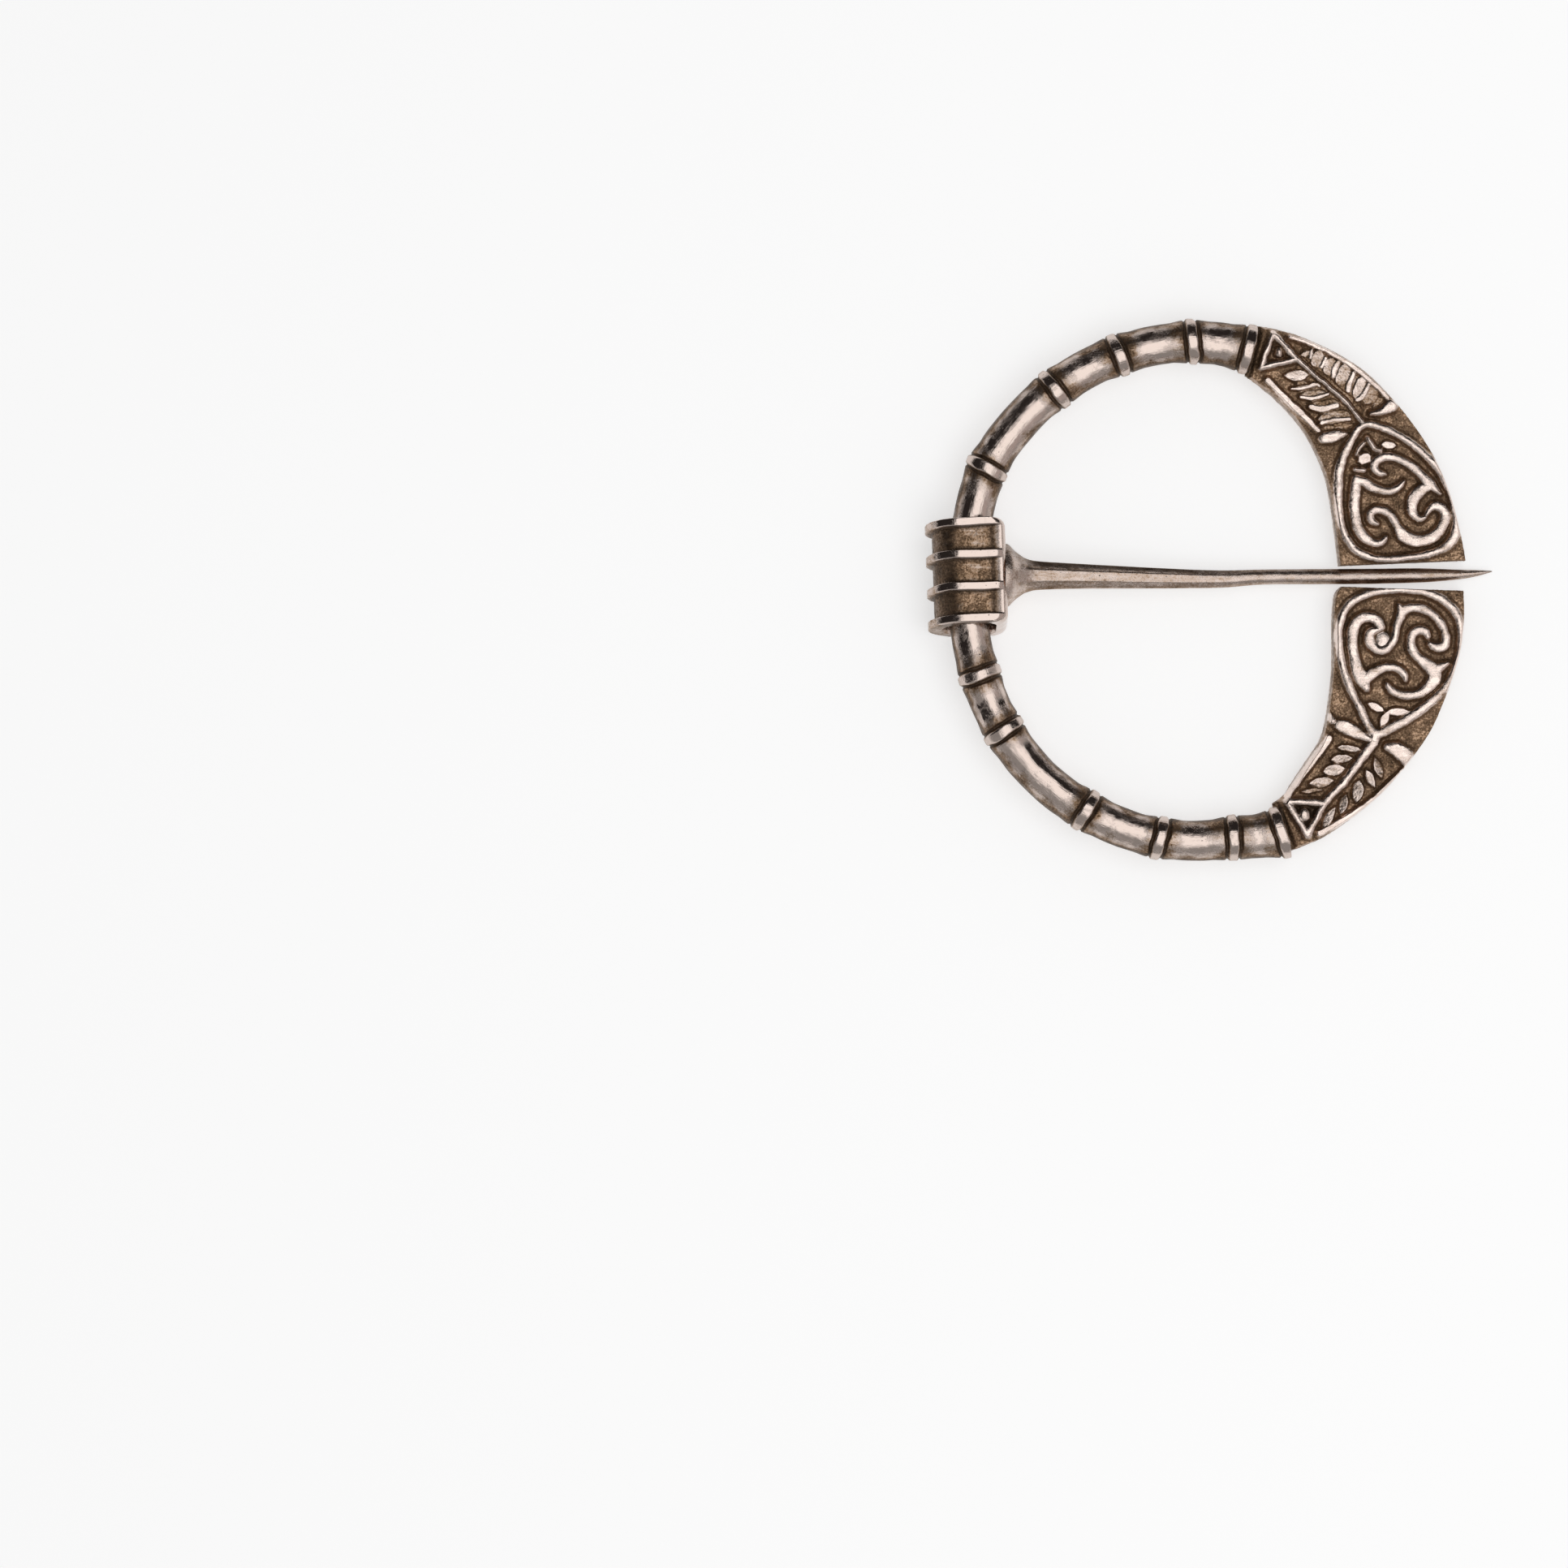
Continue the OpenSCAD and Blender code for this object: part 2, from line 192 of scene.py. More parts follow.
def keep_values(mesh: bpy.types.Mesh, values: dict[str, np.ndarray]) -> None:
    """Keeps numbers or vectors at the vertices of a mesh, by name.

    Args:
        mesh: The mesh.
        values: A number or a vector for each vertex, by name.
    """
    for name, value in values.items():
        data = np.asarray(value, np.float32)
        kind, key = ("FLOAT_VECTOR", "vector") if data.ndim == 2 else ("FLOAT", "value")
        mesh.attributes.new(name, kind, "POINT").data.foreach_set(key, data.ravel())


def new_piece(
    name: str, points: np.ndarray, faces: list[list[int]], values: dict[str, np.ndarray]
) -> bpy.types.Object:
    """Makes a closed, smooth piece whose faces point outwards.

    Args:
        name: The piece's name.
        points: Its vertices in metres.
        faces: Its faces, as lists of vertex numbers.
        values: Numbers or vectors kept at each vertex, by name.

    Returns:
        The new object, at the origin.
    """
    mesh = bpy.data.meshes.new(name)
    mesh.from_pydata(points.tolist(), [], faces)
    keep_values(mesh, {**values, "skin": points})
    shell = bmesh.new()
    shell.from_mesh(mesh)
    bmesh.ops.recalc_face_normals(shell, faces=shell.faces)
    shell.to_mesh(mesh)
    shell.free()
    mesh.shade_smooth()
    return place_object(name, mesh)


def new_path(name: str, points: np.ndarray, values: dict[str, np.ndarray]) -> bpy.types.Object:
    """Makes an open line of edges with values at its points, for a tree to sweep along.

    Args:
        name: The line's name.
        points: Its points in metres.
        values: Numbers or vectors kept at each point, by name.

    Returns:
        The new object, at the origin.
    """
    mesh = bpy.data.meshes.new(name)
    mesh.from_pydata(points.tolist(), [(i, i + 1) for i in range(len(points) - 1)], [])
    keep_values(mesh, values)
    return place_object(name, mesh)


class Wire:
    """A value on its way through a node tree, for which plain arithmetic adds the nodes."""

    def __init__(self, web: "NodeWeb", socket: Socket) -> None:
        """Keeps the tree under construction and the socket that the value comes from."""
        self.web, self.socket = web, socket

    def __add__(self, other: Value) -> "Wire":
        """The sum of two numbers."""
        return self.web.maths("ADD", self, other)

    def __sub__(self, other: Value) -> "Wire":
        """The number less another."""
        return self.web.maths("SUBTRACT", self, other)

    def __rsub__(self, other: float) -> "Wire":
        """A plain number less this one."""
        return self.web.maths("SUBTRACT", other, self)

    def __mul__(self, other: Value) -> "Wire":
        """The product of two numbers."""
        return self.web.maths("MULTIPLY", self, other)

    def __truediv__(self, other: Value) -> "Wire":
        """The number divided by another."""
        return self.web.maths("DIVIDE", self, other)

    def __abs__(self) -> "Wire":
        """The number without its sign."""
        return self.web.maths("ABSOLUTE", self)

    def or_more(self, other: Value) -> "Wire":
        """The larger of two numbers."""
        return self.web.maths("MAXIMUM", self, other)


class Arrow(Wire):
    """A vector on its way through a node tree."""

    def __add__(self, other: Value) -> "Arrow":
        """The sum of two vectors."""
        return self.web.vector("ADD", self, other)

    def __sub__(self, other: Value) -> "Arrow":
        """The vector less another."""
        return self.web.vector("SUBTRACT", self, other)

    def __mul__(self, other: Value) -> "Arrow":
        """The vector made longer or shorter by a number."""
        return self.web.vector("SCALE", self, other)

    def dot(self, other: Value) -> Wire:
        """The dot product of two vectors."""
        return self.web.vector("DOT_PRODUCT", self, other)

    def length(self) -> Wire:
        """The vector's length."""
        return self.web.vector("LENGTH", self)

    def unit(self) -> "Arrow":
        """The vector with length 1."""
        return self.web.vector("NORMALIZE", self)


class NodeWeb:
    """A node tree under construction, with short calls for its nodes."""

    def __init__(self, tree: bpy.types.NodeTree) -> None:
        """Starts on a tree."""
        self.tree = tree

    def feed(self, slot: Socket, value: Value) -> None:
        """Gives an input a plain value, or links it to one on its way.

        Args:
            slot: The input.
            value: A plain value or a wire.
        """
        if isinstance(value, Wire):
            self.tree.links.new(value.socket, slot)
        else:
            slot.default_value = value

    def node(
        self, kind: str, inputs: dict[Union[int, str], Value], **settings: str
    ) -> bpy.types.Node:
        """Adds a node.

        Args:
            kind: The node's type.
            inputs: Values for its inputs, by number or name.
            **settings: The node's own options.

        Returns:
            The new node.
        """
        made = self.tree.nodes.new(kind)
        for key, value in settings.items():
            setattr(made, key, value)
        for key, value in inputs.items():
            self.feed(made.inputs[key], value)
        return made

    def wire(self, kind: str, inputs: dict[Union[int, str], Value], **settings: str) -> Wire:
        """Adds a node and gives its first output."""
        return Wire(self, self.node(kind, inputs, **settings).outputs[0])

    def maths(self, operation: str, *values: Value) -> Wire:
        """Works out a number from numbers."""
        return self.wire("ShaderNodeMath", dict(enumerate(values)), operation=operation)

    def vector(self, operation: str, *values: Value) -> Wire:
        """Works out a vector from vectors, or its length or dot product.

        Args:
            operation: The node's operation.
            *values: What it works on.

        Returns:
            A wire for a length or a dot product, and otherwise an arrow.
        """
        slots = (0, 3) if operation == "SCALE" else (0, 1)
        made = self.node("ShaderNodeVectorMath", dict(zip(slots, values)), operation=operation)
        if operation in ("LENGTH", "DOT_PRODUCT"):
            return Wire(self, made.outputs["Value"])
        return Arrow(self, made.outputs["Vector"])


class ShapeTree(NodeWeb):
    """A Geometry Nodes tree that takes a geometry and gives it back reshaped."""

    def __init__(self, name: str) -> None:
        """Starts the tree with its way in and its way out.

        Args:
            name: The tree's name.
        """
        super().__init__(bpy.data.node_groups.new(name, "GeometryNodeTree"))
        for way in ("INPUT", "OUTPUT"):
            self.tree.interface.new_socket("Geometry", in_out=way, socket_type="NodeSocketGeometry")
        self.way_in = self.tree.nodes.new("NodeGroupInput")
        self.way_out = self.tree.nodes.new("NodeGroupOutput")
        self.geometry = Wire(self, self.way_in.outputs[0])

    def size(self, name: str, kind: str = "Float") -> Wire:
        """Adds a named input and gives its value."""
        self.tree.interface.new_socket(name, in_out="INPUT", socket_type="NodeSocket" + kind)
        return (Arrow if kind == "Vector" else Wire)(self, self.way_in.outputs[name])

    def sizes(self, *names: str) -> list[Wire]:
        """Adds named inputs for plain numbers."""
        return [self.size(name) for name in names]

    def through(self, kind: str, inputs: dict[int, Value], **settings: str) -> None:
        """Sends the geometry through a node."""
        self.geometry = self.wire(kind, {0: self.geometry, **inputs}, **settings)

    def ease(self, value: Value, low: Value, high: Value, start: float, end: float) -> Wire:
        """Moves smoothly from start, where value is low, to end, where it is high."""
        inputs = {0: value, 1: low, 2: high, 3: start, 4: end}
        return self.wire("ShaderNodeMapRange", inputs, interpolation_type="SMOOTHSTEP")

    def kept(self, name: str) -> Wire:
        """Reads a number that is kept at each point."""
        return self.wire("GeometryNodeInputNamedAttribute", {0: name}, data_type="FLOAT")

    def kept_arrow(self, name: str) -> Arrow:
        """Reads a vector that is kept at each point."""
        made = self.node("GeometryNodeInputNamedAttribute", {0: name}, data_type="FLOAT_VECTOR")
        return Arrow(self, made.outputs[0])

    def keep(self, name: str, value: Wire) -> None:
        """Keeps a number or a vector at each point of the geometry."""
        kind = "FLOAT_VECTOR" if isinstance(value, Arrow) else "FLOAT"
        self.through("GeometryNodeStoreNamedAttribute", {2: name, 3: value}, data_type=kind)

    def keep_skin(self, out: Arrow, upright: Value, radius: Wire) -> None:
        """Keeps the distance along and round a swept wire at each point, for its scratches.

        Args:
            out: The direction from the middle line, of length 1.
            upright: The direction from which the way round is measured.
            radius: The wire's radius.
        """
        high = out.dot(upright)
        aside = (out - self.vector("SCALE", upright, high)).length()
        turn = self.maths("ARCTAN2", aside, high) * radius
        skin = self.node("ShaderNodeCombineXYZ", {0: self.kept("run"), 1: turn})
        self.keep("skin", Arrow(self, skin.outputs[0]))

    def place(self) -> Arrow:
        """The position of each point."""
        return Arrow(self, self.node("GeometryNodeInputPosition", {}).outputs[0])

    def noise(self, place: Arrow, per_m: Value, detail: float, seed: Value) -> Wire:
        """Noise from about -0.5 to 0.5 at a place, where per_m is its hills for each metre."""
        inputs = {"Vector": place, "W": seed, "Scale": per_m, "Detail": detail}
        return self.wire("ShaderNodeTexNoise", inputs, noise_dimensions="4D") - 0.5

    def put(self, place: Arrow) -> None:
        """Puts each point at a place."""
        self.through("GeometryNodeSetPosition", {2: place})

    def move(self, offset: Arrow) -> None:
        """Moves each point by an offset."""
        self.through("GeometryNodeSetPosition", {3: offset})

    def sweep(self, sides: Wire, radius: Wire) -> None:
        """Turns the path into a capped tube of that many sides and that radius.

        Args:
            sides: The number of sides.
            radius: The radius at each point of the path.
        """
        self.through("GeometryNodeMeshToCurve", {})
        self.through("GeometryNodeSetCurveNormal", {}, mode="Z_UP")
        circle = self.wire("GeometryNodeCurvePrimitiveCircle", {"Resolution": sides, "Radius": 1.0})
        self.through("GeometryNodeCurveToMesh", {1: circle, 2: radius, 3: True})

    def finish(self) -> bpy.types.NodeTree:
        """Realizes the instances, sets the material and closes the tree.

        Returns:
            The finished tree.
        """
        self.through("GeometryNodeRealizeInstances", {})
        self.through("GeometryNodeSetShadeSmooth", {2: True})
        self.through("GeometryNodeSetMaterial", {2: self.size("Metal", "Material")})
        self.feed(self.way_out.inputs[0], self.geometry)
        return self.tree


def run_tree(
    source: bpy.types.Object, tree: bpy.types.NodeTree, sizes: dict[str, Value]
) -> bpy.types.Object:
    """Runs a tree on an object and keeps the result as a plain mesh.

    Args:
        source: The object that the tree starts from.
        tree: The tree.
        sizes: Values for the tree's named inputs.

    Returns:
        The same object, with the result as its mesh and no modifier.
    """
    modifier = source.modifiers.new(tree.name, "NODES")
    modifier.node_group = tree
    for item in tree.interface.items_tree:
        if item.in_out == "INPUT" and item.name in sizes:
            modifier[item.identifier] = sizes[item.name]
    bpy.context.view_layer.update()
    graph = bpy.context.evaluated_depsgraph_get()
    mesh = bpy.data.meshes.new_from_object(source.evaluated_get(graph))
    source.modifiers.remove(modifier)
    source.data = mesh
    mesh.name = source.name
    return source


def count_triangles(piece: bpy.types.Object) -> int:
    """The number of triangles in a piece's mesh."""
    piece.data.calc_loop_triangles()
    return len(piece.data.loop_triangles)


# Finishes


def plain_material(name: str, values: dict[str, Union[float, tuple]]) -> bpy.types.Material:
    """Makes a material from plain values for its shader's own sockets, by name.

    Args:
        name: The material's name.
        values: A number or a colour for each socket.

    Returns:
        The new material.
    """
    made = bpy.data.materials.new(name)
    made.use_nodes = True
    for key, value in values.items():
        made.node_tree.nodes["Principled BSDF"].inputs[key].default_value = value
    return made


class FinishWeb(NodeWeb):
    """A material's node tree under construction."""

    def kept(self, name: str, output: str = "Fac") -> Wire:
        """Reads a value that is kept at each vertex."""
        return Wire(self, self.node("ShaderNodeAttribute", {}, attribute_name=name).outputs[output])

    def noise(self, place: Wire, per_m: float, detail: float, rough: float = 0.5) -> Wire:
        """Noise from 0 to 1 at a place, where per_m is its hills for each metre."""
        inputs = {"Vector": place, "Scale": per_m, "Detail": detail, "Roughness": rough}
        return self.wire("ShaderNodeTexNoise", inputs)

    def ramp(self, value: Wire, *stops: tuple[float, Colour]) -> Wire:
        """Turns a number into a colour through stops, each a number with its colour.

        Args:
            value: The number.
            *stops: The stops, from the lowest number up.

        Returns:
            The colour.
        """
        made = self.node("ShaderNodeValToRGB", {0: value})
        elements = made.color_ramp.elements
        for i, (place, colour) in enumerate(stops):
            element = elements[i] if i < 2 else elements.new(place)
            element.position = place
            element.color = (*colour, 1.0)
        return Wire(self, made.outputs[0])

    def grey(self, value: Wire, *stops: tuple[float, float]) -> Wire:
        """Turns a number into another through stops, each a number with what it turns into."""
        return self.ramp(value, *((place, (level,) * 3) for place, level in stops))

    def mix(self, share: Wire, first: Wire, second: Value) -> Wire:
        """Mixes two colours, where a share of 1 gives the second."""
        made = self.node("ShaderNodeMix", {0: share, 6: first, 7: second}, data_type="RGBA")
        return Wire(self, made.outputs[2])


@dataclass(frozen=True)
class SilverFinish:
    """Oxidised silver: grainy brown ground, grooves dark with patina and painted shade, worn bright
    tops.
    """

    name: str
    bright: Colour = (0.62, 0.515, 0.46)
    dull: Colour = (0.42, 0.315, 0.245)
    brown: Colour = (0.36, 0.23, 0.14)
    ground: Colour = (0.2, 0.12, 0.065)
    dark: Colour = (0.035, 0.022, 0.014)
    grime: Colour = (0.74, 0.49, 0.32)
    blotch_per_m: float = 900.0
    lump_per_m: float = 1000.0
    grain_per_m: float = 6400.0
    scratch_per_m: float = 2600.0
    pit_per_m: float = 4800.0
    blotch: float = 0.8
    fleck: float = 1.05
    scratch: float = 0.8
    scratch_stretch: float = 0.07
    bump_mm: float = 0.08

    def material(self) -> bpy.types.Material:
        """Builds the finish.

        Returns:
            A material that reads the relief, the hollows and the skin kept at each vertex.
        """
        made = bpy.data.materials.new(self.name)
        made.use_nodes = True
        web = FinishWeb(made.node_tree)
        place = Wire(web, web.node("ShaderNodeTexCoord", {}).outputs["Object"])
        blotch = web.noise(place, self.blotch_per_m, 4.0) - 0.5
        grain = web.noise(place, self.grain_per_m, 6.0, 0.72)
        fleck = grain - 0.5
        # Fine scratches run along the skin
        stretch = (self.scratch_stretch, 1.0, 1.0)
        skin = web.wire("ShaderNodeMapping", {0: web.kept("skin", "Vector"), 3: stretch})
        scratch = web.noise(skin, self.scratch_per_m, 4.0, 0.7)
        worn = web.kept("relief") + blotch * self.blotch + fleck * self.fleck
        worn = worn + (scratch - 0.5) * self.scratch
        polish = web.ramp(worn, (0.16, self.brown), (0.38, self.dull), (0.6, self.bright))
        # The low ground is crusted with grains of brown and gold
        crumbs = ((0.3, self.dark), (0.43, self.ground), (0.55, self.brown), (0.67, self.grime))
        crust = web.ramp(grain + blotch * 0.4, *crumbs)
        colour = web.mix(web.grey(worn, (0.14, 0.0), (0.34, 1.0)), crust, polish)
        # Tarnish fills the feet of the slopes, the grooves and small pits, and the hollow value
        # adds painted shade in the hollows, along one side of the shank and in the head's panels
        foot = web.kept("hollow") * 1.1 - fleck * 0.4
        pits = web.grey(web.noise(place, self.pit_per_m, 1.5), (0.2, 0.8), (0.25, 0.0))
        for share in (web.grey(foot, (0.08, 0.0), (0.9, 0.8)), pits):
            colour = web.mix(share, colour, (*self.dark, 1.0))
        rough = web.grey(worn, (0.1, 0.46), (0.4, 0.32), (0.62, 0.22), (0.8, 0.1), (1.0, 0.07))
        lump = web.noise(place, self.lump_per_m, 1.5)
        height = lump + grain * web.grey(worn, (0.1, 0.9), (0.75, 0.1)) + scratch * 0.4 - pits * 0.5
        bump = {"Strength": 1.0, "Distance": self.bump_mm * MM, "Height": height}
        shader = made.node_tree.nodes["Principled BSDF"]
        web.feed(shader.inputs["Base Color"], colour)
        web.feed(shader.inputs["Roughness"], rough)
        web.feed(shader.inputs["Metallic"], web.grey(worn, (0.0, 0.7), (0.3, 1.0)))
        web.feed(shader.inputs["Normal"], web.wire("ShaderNodeBump", bump))
        return made


@dataclass(frozen=True)
class PaperFinish:
    """The pale ground that the brooch lies on: matt, with the glow of an evenly lit sheet."""

    white: float = 0.72
    glow: float = 0.52

    def material(self) -> bpy.types.Material:
        """Builds the finish.

        Returns:
            A matt material that glows a little.
        """
        return plain_material("pale_ground", {
            "Base Color": (self.white, self.white, self.white, 1.0),
            "Roughness": 0.9,
            "Emission Color": (1.0, 1.0, 1.0, 1.0),
            "Emission Strength": self.glow,
        })


def worn_metal_tree() -> bpy.types.NodeTree:
    """Dents a surface softly and roughens its low ground.

    Returns:
        A tree with named inputs for the dents, the grain and the seed.
    """
    web = ShapeTree("worn_metal")
    dents, dent_depth = web.sizes("Dents per metre", "Dent depth")
    grains, grain_depth, seed = web.sizes("Grains per metre", "Grain depth", "Seed")
    place = web.place()
    low = web.ease(web.kept("relief"), 0.35, 0.8, 1.0, 0.08)
    dent = (web.noise(place, dents, 1.0, seed) - 0.3) * dent_depth
    grain = web.noise(place, grains, 3.0, seed) * grain_depth
    normal = Arrow(web, web.node("GeometryNodeInputNormal", {}).outputs[0])
    web.move(normal * (dent + grain * low))
    # Nothing sinks into the ground that the brooch lies on
    web.put(web.vector("MAXIMUM", web.place(), (-1.0, -1.0, 0.0)))
    return web.finish()


@dataclass(frozen=True)
class Wear:
    """How a piece is dented and roughened."""

    dents_per_m: float = 450.0
    dent_mm: float = 0.05
    grains_per_m: float = 5200.0
    grain_mm: float = 0.12
    seed: float = 3.0

    def give(
        self, piece: bpy.types.Object, tree: bpy.types.NodeTree, metal: bpy.types.Material
    ) -> bpy.types.Object:
        """Wears a piece with the worn metal tree and dresses it in its metal.

        Args:
            piece: The piece.
            tree: The tree that dents and roughens a surface.
            metal: The piece's material.

        Returns:
            The same piece with its worn mesh.
        """
        return run_tree(piece, tree, {
            "Dents per metre": self.dents_per_m,
            "Dent depth": self.dent_mm * MM,
            "Grains per metre": self.grains_per_m,
            "Grain depth": self.grain_mm * MM,
            "Seed": self.seed,
            "Metal": metal,
        })


# The ring


@dataclass(frozen=True)
class RingPlane:
    """The plane of the hoop and terminals, which leans because the pin's head lifts one side."""

    wire_r: float = 1.65
    rest_x: float = 21.1

    def lean(self) -> float:
        """The angle between the ring's plane and the ground, from the pin's axis."""
        axis = frame["joints"][0]["pos_m"]
        return math.asin((axis[2] / MM - self.wire_r) / (self.rest_x - axis[0] / MM))

    def turn(self, vectors: np.ndarray) -> np.ndarray:
        """Leans vectors of the ring's own plane as the ring leans.

        Args:
            vectors: The vectors, a row each.

        Returns:
            The leaning vectors.
        """
        cos, sin = math.cos(self.lean()), math.sin(self.lean())
        x, y, z = vectors.T
        return np.column_stack([x * cos + z * sin, y, z * cos - x * sin])

    def to_frame(self, points: np.ndarray) -> np.ndarray:
        """Takes points in the ring's own plane, in millimetres, to the frame, in metres."""
        pivot = np.array([self.rest_x, 0.0, 0.0])
        return (self.turn(points - pivot) + pivot) * MM


# The raised bands, from the upper terminal round to the lower one. Columns: x, y, lean from
# the radial line in degrees, how far the hoop bows out up to the next band, and how much
# wider than the wire the hoop is here.
BANDS = (
    (3.05, 19.8, -7, 0.13, 0.14),
    (-1.55, 20.43, 0, 0.23, 0.03),
    (-7.6, 19.3, 0, 0.22, 0),
    (-12.85, 16.45, 0, 0.44, 0),
    (-18.4, 9.95, 0, 1.35, 0),
    (-18.95, -6.95, 0, 0.15, 0),
    (-16.95, -11.5, 0, 0.65, 0),
    (-10.25, -18.05, 0, 0.26, 0),
    (-4.2, -20.35, 0, 0.22, 0),
    (1.8, -20.3, 0, 0.1, 0.04),
    (5.75, -19.9, 5, 0, 0.2),
)


@dataclass
class Hoop:
    """The round wire of the ring with its raised bands, swept along its bent middle line."""

    plane: RingPlane
    metal: bpy.types.Material
    ring_middle: tuple[float, float] = (0.65, -0.1)
    sides: int = 96
    fine_step: float = 0.05
    coarse_step: float = 0.24
    fine_reach: float = 1.15
    band_len: float = 0.85
    band_rise: float = 0.12
    groove_w: float = 0.32
    groove_depth: float = 0.22
    swell: float = 0.1
    swell_reach: float = 2.2
    tail: float = 0.55
    tail_span: int = 8
    kink_ease: float = 0.4
    edge_soft: float = 0.17
    uneven: float = 0.34
    uneven_per_m: float = 900.0
    patch: float = 3.0
    patch_per_m: float = 420.0
    rag_per_m: float = 800.0

    def middle_line(self) -> np.ndarray:
        """The hoop's middle line in the ring's plane, with the kinks at the bands eased.

        Returns:
            Its points in millimetres, close together and evenly spread.
        """
        points = []
        for a, b in zip(BANDS, BANDS[1:]):
            start, end = np.array(a[:2]), np.array(b[:2])
            chord, rise = end - start, a[3]
            bend_r = chord @ chord / (8 * rise) + rise / 2
            middle = (start + end) / 2 + unit(np.array([-chord[1], chord[0]])) * (bend_r - rise)
            spoke = start - middle
            turn = 2 * math.asin(np.linalg.norm(chord) / 2 / bend_r)
            steps = int(np.linalg.norm(chord) / self.fine_step)
            for angle in np.arange(steps) / steps * turn + math.atan2(spoke[1], spoke[0]):
                points.append(middle + bend_r * np.array([math.cos(angle), math.sin(angle)]))
        line = np.array(points + [BANDS[-1][:2]])
        first = line[0] + unit(line[0] - line[self.tail_span]) * self.tail
        last = line[-1] + unit(line[-1] - line[-1 - self.tail_span]) * self.tail
        line = np.vstack([[first], line, [last]])
        line = spread(line, np.linspace(0, 1, int(lengths_along(line)[-1] / self.fine_step)))
        reach = int(self.kink_ease / self.fine_step)
        padded = np.pad(line, ((reach, reach), (0, 0)), "edge")
        kernel = np.ones(2 * reach + 1) / (2 * reach + 1)
        eased = np.column_stack([np.convolve(column, kernel, "valid") for column in padded.T])
        eased[:reach], eased[-reach:] = line[:reach], line[-reach:]
        return eased

    def nearest_bands(self, line: np.ndarray) -> tuple[np.ndarray, np.ndarray, np.ndarray]:
        """Finds the band nearest to each point.

        Args:
            line: Points of the hoop's middle line.

        Returns:
            Each nearest band's middle, its axis, and how much wider the hoop is at the point.
        """
        table = np.array(BANDS, float)
        nearest = np.argmin(np.linalg.norm(line[:, None] - table[None, :, :2], axis=2), axis=1)
        middles = table[:, :2]
        spokes = middles - np.array(self.ring_middle)
        angles = np.arctan2(spokes[:, 1], spokes[:, 0]) + np.radians(table[:, 2])
        axes = np.column_stack([-np.sin(angles), np.cos(angles), np.zeros(len(table))])
        run = lengths_along(line)
        stations = [run[np.argmin(np.linalg.norm(line - middle, axis=1))] for middle in middles]
        wider = np.interp(run, stations, table[:, 4])
        return middles[nearest], axes[nearest], wider

    def path(self) -> bpy.types.Object:
        """The middle line with values at its points, close together only near the bands.

        Returns:
            A line of edges for the tree to sweep along.
        """
        line = self.middle_line()
        middles, axes, wider = self.nearest_bands(line)
        gap = np.abs(np.einsum("ij,ij->i", line - middles, axes[:, :2]))
        skip = int(self.coarse_step / self.fine_step)
        chosen = [i for i in range(len(line)) if gap[i] < self.fine_reach or i % skip == 0]
        lift = np.full(len(line), self.plane.wire_r)
        points = self.plane.to_frame(np.column_stack([line, lift]))[chosen]
        places = self.plane.to_frame(np.column_stack([middles, lift]))[chosen]
        values = {
            "centre": points,
            "band_place": places,
            "band_axis": self.plane.turn(axes)[chosen],
            "wider": wider[chosen],
            "run": lengths_along(points),
        }
        return new_path("ring_hoop", points, values)

    def tree(self) -> bpy.types.NodeTree:
        """Builds the tree that sweeps the wire and raises the bands on it.

        Returns:
            A tree with named inputs for every size of the wire, bands and grooves.
        """
        web = ShapeTree("banded_wire")
        radius, half, rise, groove_w, groove_depth = web.sizes(
            "Wire radius", "Band half length", "Band rise", "Groove width", "Groove depth"
        )
        swell, swell_reach, edge, uneven = web.sizes(
            "Swell", "Swell reach", "Edge softness", "Unevenness"
        )
        upright = web.size("Plane normal", "Vector")
        web.sweep(web.size("Sides", "Int"), radius)
        place, centre = web.place(), web.kept_arrow("centre")
        out = (place - centre).unit()
        high = out.dot(upright)
        gap = (place - web.kept_arrow("band_place")).dot(web.kept_arrow("band_axis"))
        gap = abs(gap + web.noise(place, self.uneven_per_m, 1.0, 5.0) * uneven)
        # The bands are narrower and the grooves shallower below
        gap = gap * web.ease(high, -0.2, 0.95, 1.3, 0.95)
        depth = groove_depth * web.ease(high, -0.3, 0.8, 0.35, 1.0)
        on_band = web.ease(gap, half - edge, half + edge, 1.0, 0.0)
        off_band = 1.0 - on_band
        in_groove = web.ease(abs(gap - (half + groove_w * 0.5)), 0.0, groove_w * 0.62, 1.0, 0.0)
        swollen = web.ease(gap, half + groove_w, swell_reach, 1.0, 0.0)
        raised = radius + on_band * rise - in_groove * depth + swollen * swell
        web.keep_skin(out, upright, radius)
        # Tarnish keeps to the feet of the bands, in patches, and the wire is made darker and duller
        # towards its sides
        patch = web.noise(place, self.patch_per_m, 3.0, 6.0) * (self.patch * MM)
        from_foot = gap - half + patch
        ragged = abs(high) + web.noise(place, self.rag_per_m, 4.0, 7.0)
        foot = web.ease(from_foot, 0.0, swell_reach * 0.45, 0.55, 0.0) * off_band
        # Darker towards the sides of the wire, by how far each point faces away from its top
        flanks = web.ease(ragged, 0.25, 0.82, 0.75, 0.0) * off_band
        web.keep("hollow", foot.or_more(in_groove).or_more(flanks))
        level = web.ease(from_foot, 0.0, swell_reach * 0.8, 0.2, 0.88)
        level = level * web.ease(ragged, 0.38, 0.96, 0.24, 1.0)
        polished = on_band * web.ease(abs(high), 0.0, 0.7, 0.4, 0.86)
        web.keep("relief", level.or_more(polished) - in_groove * 0.3)
        up = upright * high
        side = (out - up) * (web.kept("wider") + 1.0)
        web.put(centre + (side + up) * raised)
        return web.finish()

